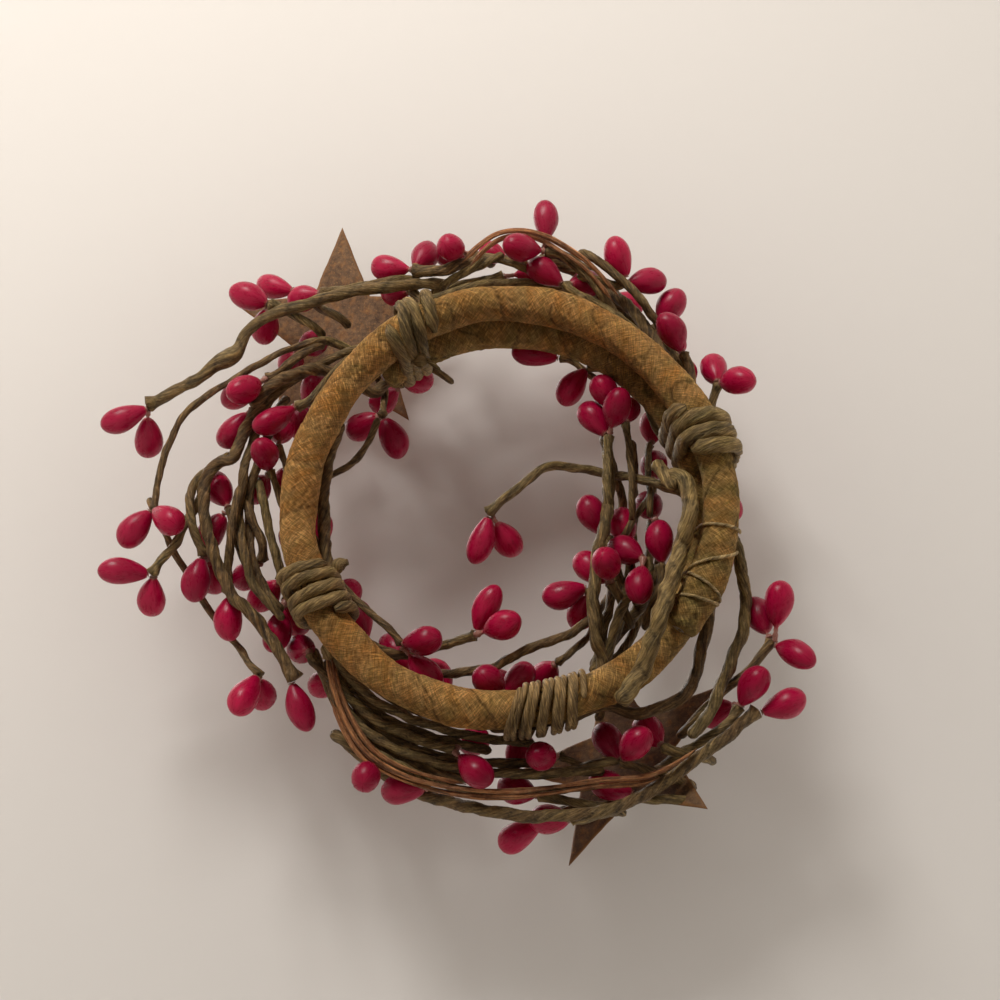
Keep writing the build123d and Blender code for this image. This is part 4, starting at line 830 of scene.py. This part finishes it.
# A star's skin: at share u of the way out the point lies u times the outline's reach on that bearing, which is
# that of the straight edge through the nearest tip and notch. The height is the sheet's, rounded off at the
# rim, plus dents that are cosine waves over the plate.
def starPart(chance, name):
    middle, normal, across, tipReach, notchReach = starFrame(name)
    down = np.cross(normal, across)
    edges = 2 * stars["points"]
    bearing = np.arange(edges * stars["perEdge"]) / (edges * stars["perEdge"]) * fullTurn
    wedge = fullTurn / edges
    inWedge = bearing % (2 * wedge)
    inWedge = np.minimum(inWedge, 2 * wedge - inWedge)
    tip = np.array([tipReach, 0])
    edge = notchReach * np.array([math.cos(wedge), math.sin(wedge)]) - tip
    outline = (tip[0] * edge[1] - tip[1] * edge[0]) / (np.cos(inWedge) * edge[1] - np.sin(inWedge) * edge[0])
    u = np.linspace(0.02, 1, stars["rows"])
    u = np.concatenate([u, u[::-1]])[:, None]
    face = np.repeat([-1, 1], stars["rows"])[:, None]
    nibble = 1 + ripples(chance, 0 * u, bearing[None, :], *stars["nibble"]) * (u > 0.9)
    spread = u * outline[None, :] * nibble
    x, y = spread * np.cos(bearing), spread * np.sin(bearing)
    dents = 0
    for _ in range(stars["dentWaves"]):
        slope = chance.uniform(*stars["dentPitch"], size=2)
        dents += np.cos(slope[0] * x + slope[1] * y + chance.uniform(0, 6)) / math.sqrt(stars["dentWaves"])
    rounding = np.clip((1 - u) / stars["rim"], 0, 1) ** 0.5
    height = face * (0.25 + 0.75 * rounding) * stars["sheet"] + dents * stars["dents"]
    grid = middle + x[..., None] * across + y[..., None] * down + height[..., None] * normal
    wrap = stacked(x, y, face * 0.01)
    ridge = np.clip(u ** 6, 0, 1) * 0.5 + 0.4
    return closedPart(grid, {"wrap": wrap}, {"tone": chance.uniform(0.3, 0.7), "ridge": ridge})


# Rusted tin: broad and fine mottle half and half, and bare rust at the rim, where the mark ridge is high.
def tinMaterial():
    sockets = {"Metallic": tinLook["metallic"], "Specular_IOR_Level": tinLook["sheen"]}
    material, tree, into = newMaterial("rustyTin", **sockets)
    wrap = readMark(tree, "wrap", "Vector")
    broad, fine = (placeGroup(tree, mottle, Vector=wrap, **tinLook[kind]) for kind in ("broad", "fine"))
    rim = remap(tree, readMark(tree, "ridge"), (0.7, 0.9))
    rusted = mixColours(tree, rim, mixColours(tree, 0.5, broad, fine), tinLook["edge"])
    tree.links.new(rusted, into["Base Color"])
    noise = put(tree, "TexNoise", {"Vector": wrap, "Scale": 900, "Detail": 5, "Roughness": 0.7})
    tree.links.new(remap(tree, noise, wanted=tinLook["roughness"]), into["Roughness"])
    tree.links.new(bumpFrom(tree, noise, tinLook), into["Normal"])
    return material


rustyTin = tinMaterial()
for number, name in enumerate(("upper_star", "lower_star")):
    addPiece(name, [starPart(seeded(700 + number), name)], rustyTin)


# Drawn wire: two greys mixed by fine noise. The solid itself is shown.
def steelMaterial():
    material, tree, into = newMaterial("coreSteel", Roughness=0.4, Metallic=1.0)
    spot = put(tree, "TexCoord", output="Object")
    noise = put(tree, "TexNoise", {"Vector": spot, "Scale": 900, "Detail": 3})
    tree.links.new(mixColours(tree, noise, (0.34, 0.33, 0.32), (0.5, 0.49, 0.47)), into["Base Color"])
    return material


nodes["hoop_wire"].data.materials.clear()
nodes["hoop_wire"].data.materials.append(steelMaterial())

# Stage: a pale floor under the ring and a pale wall above it, each seen from one side only, so that the ring
# can be looked at from below as well. Far out they fade into the backdrop's own tone, for the camera only.
stage = {
    # each sheet's half width, height and whether it faces up
    "sheets": {"floor": (3.0, -0.1 * mm, True), "wall": (0.6, 56 * mm, False)},
    "pale": 0.66, "tint": (1, 0.965, 0.925), "sky": 0.26, "skyTint": (1, 0.98, 0.955), "backdrop": 0.74,
    "fadeFrom": 0.30, "fadeTo": 1.1,
}


def stageMaterial(name):
    material = bpy.data.materials.new(name)
    material.use_nodes = True
    tree = material.node_tree
    tree.nodes.clear()
    far = put(tree, "VectorMath", {0: put(tree, "TexCoord", output="Object")}, "Value", operation="LENGTH")
    share = remap(tree, far, (stage["fadeFrom"], stage["fadeTo"]), interpolation_type="SMOOTHSTEP")
    seen = put(tree, "LightPath", output="Is Camera Ray")
    lit = put(tree, "BsdfDiffuse", {"Color": [stage["pale"] * part for part in stage["tint"]]})
    glow = put(tree, "Emission", {"Color": stage["tint"], "Strength": stage["backdrop"]})
    faded = put(tree, "MixShader", {0: calculate(tree, "MULTIPLY", share, seen), 1: lit, 2: glow})
    turnedAway, clear = put(tree, "NewGeometry", output="Backfacing"), put(tree, "BsdfTransparent")
    shown = put(tree, "MixShader", {0: turnedAway, 1: faded, 2: clear})
    tree.links.new(shown, tree.nodes.new("ShaderNodeOutputMaterial").inputs[0])
    return material


# A square sheet that faces up or down.
def addSheet(name, reach, height, facingUp):
    corners = [(x * reach, y * reach, height) for x, y in ((-1, -1), (1, -1), (1, 1), (-1, 1))]
    mesh = bpy.data.meshes.new(name)
    mesh.from_pydata(corners, [], [(0, 1, 2, 3) if facingUp else (3, 2, 1, 0)])
    mesh.materials.append(stageMaterial(name))
    sheet = bpy.data.objects.new(name, mesh)
    bpy.context.scene.collection.objects.link(sheet)
    sheet.visible_shadow = False


for name, facts in stage["sheets"].items():
    addSheet(name, *facts)

world = bpy.data.worlds.new("paleRoom")
bpy.context.scene.world = world
world.use_nodes = True
room, background = world.node_tree, world.node_tree.nodes["Background"].inputs
background["Color"].default_value = (*stage["skyTint"], 1)
seen = put(room, "LightPath", output="Is Camera Ray")
strength = remap(room, seen, wanted=(stage["sky"], stage["backdrop"]))
room.links.new(strength, background["Strength"])

# Lamps: place in metres, watts and width of each soft square, on both sides of the ring.
lamps = {
    "keyBelow": ((-0.26, -0.60, -0.52), 4.3, 0.25), "fillBelow": ((0.60, 0.25, -0.55), 0.8, 0.6),
    "keyAbove": ((-0.45, -0.50, 0.80), 6.0, 0.4), "fillAbove": ((0.60, 0.45, 0.60), 1.6, 0.6),
}
lampTint = (1, 0.975, 0.94)
for name, (spot, watts, width) in lamps.items():
    light = bpy.data.lights.new(name, "AREA")
    light.energy, light.size, light.color = watts, width, lampTint
    lamp = bpy.data.objects.new(name, light)
    bpy.context.scene.collection.objects.link(lamp)
    lamp.location = spot
    lamp.rotation_mode = "QUATERNION"
    lamp.rotation_quaternion = (-Vector(spot)).to_track_quat("-Z", "Y")
print("stage and lamps set")

# The camera looks up at the ring's underside, whose top leans back.
sight = {"distance": 0.4, "lean": 16.3, "lens": 63.1, "sensor": 36, "shiftX": -0.0089, "shiftY": -0.0071}
lens = bpy.data.cameras.new("sight")
lens.lens, lens.sensor_width = sight["lens"], sight["sensor"]
lens.shift_x, lens.shift_y = sight["shiftX"], sight["shiftY"]
camera = bpy.data.objects.new("sight", lens)
bpy.context.scene.collection.objects.link(camera)
bpy.context.scene.camera = camera
lean = math.radians(sight["lean"])
back = Vector((0, math.sin(lean), -math.cos(lean)))
right = Vector((1, 0, 0))
turned = Matrix((right, back.cross(right), back)).transposed()
camera.matrix_world = Matrix.Translation(back * sight["distance"]) @ turned.to_4x4()
bpy.context.scene.view_settings.view_transform = "Standard"
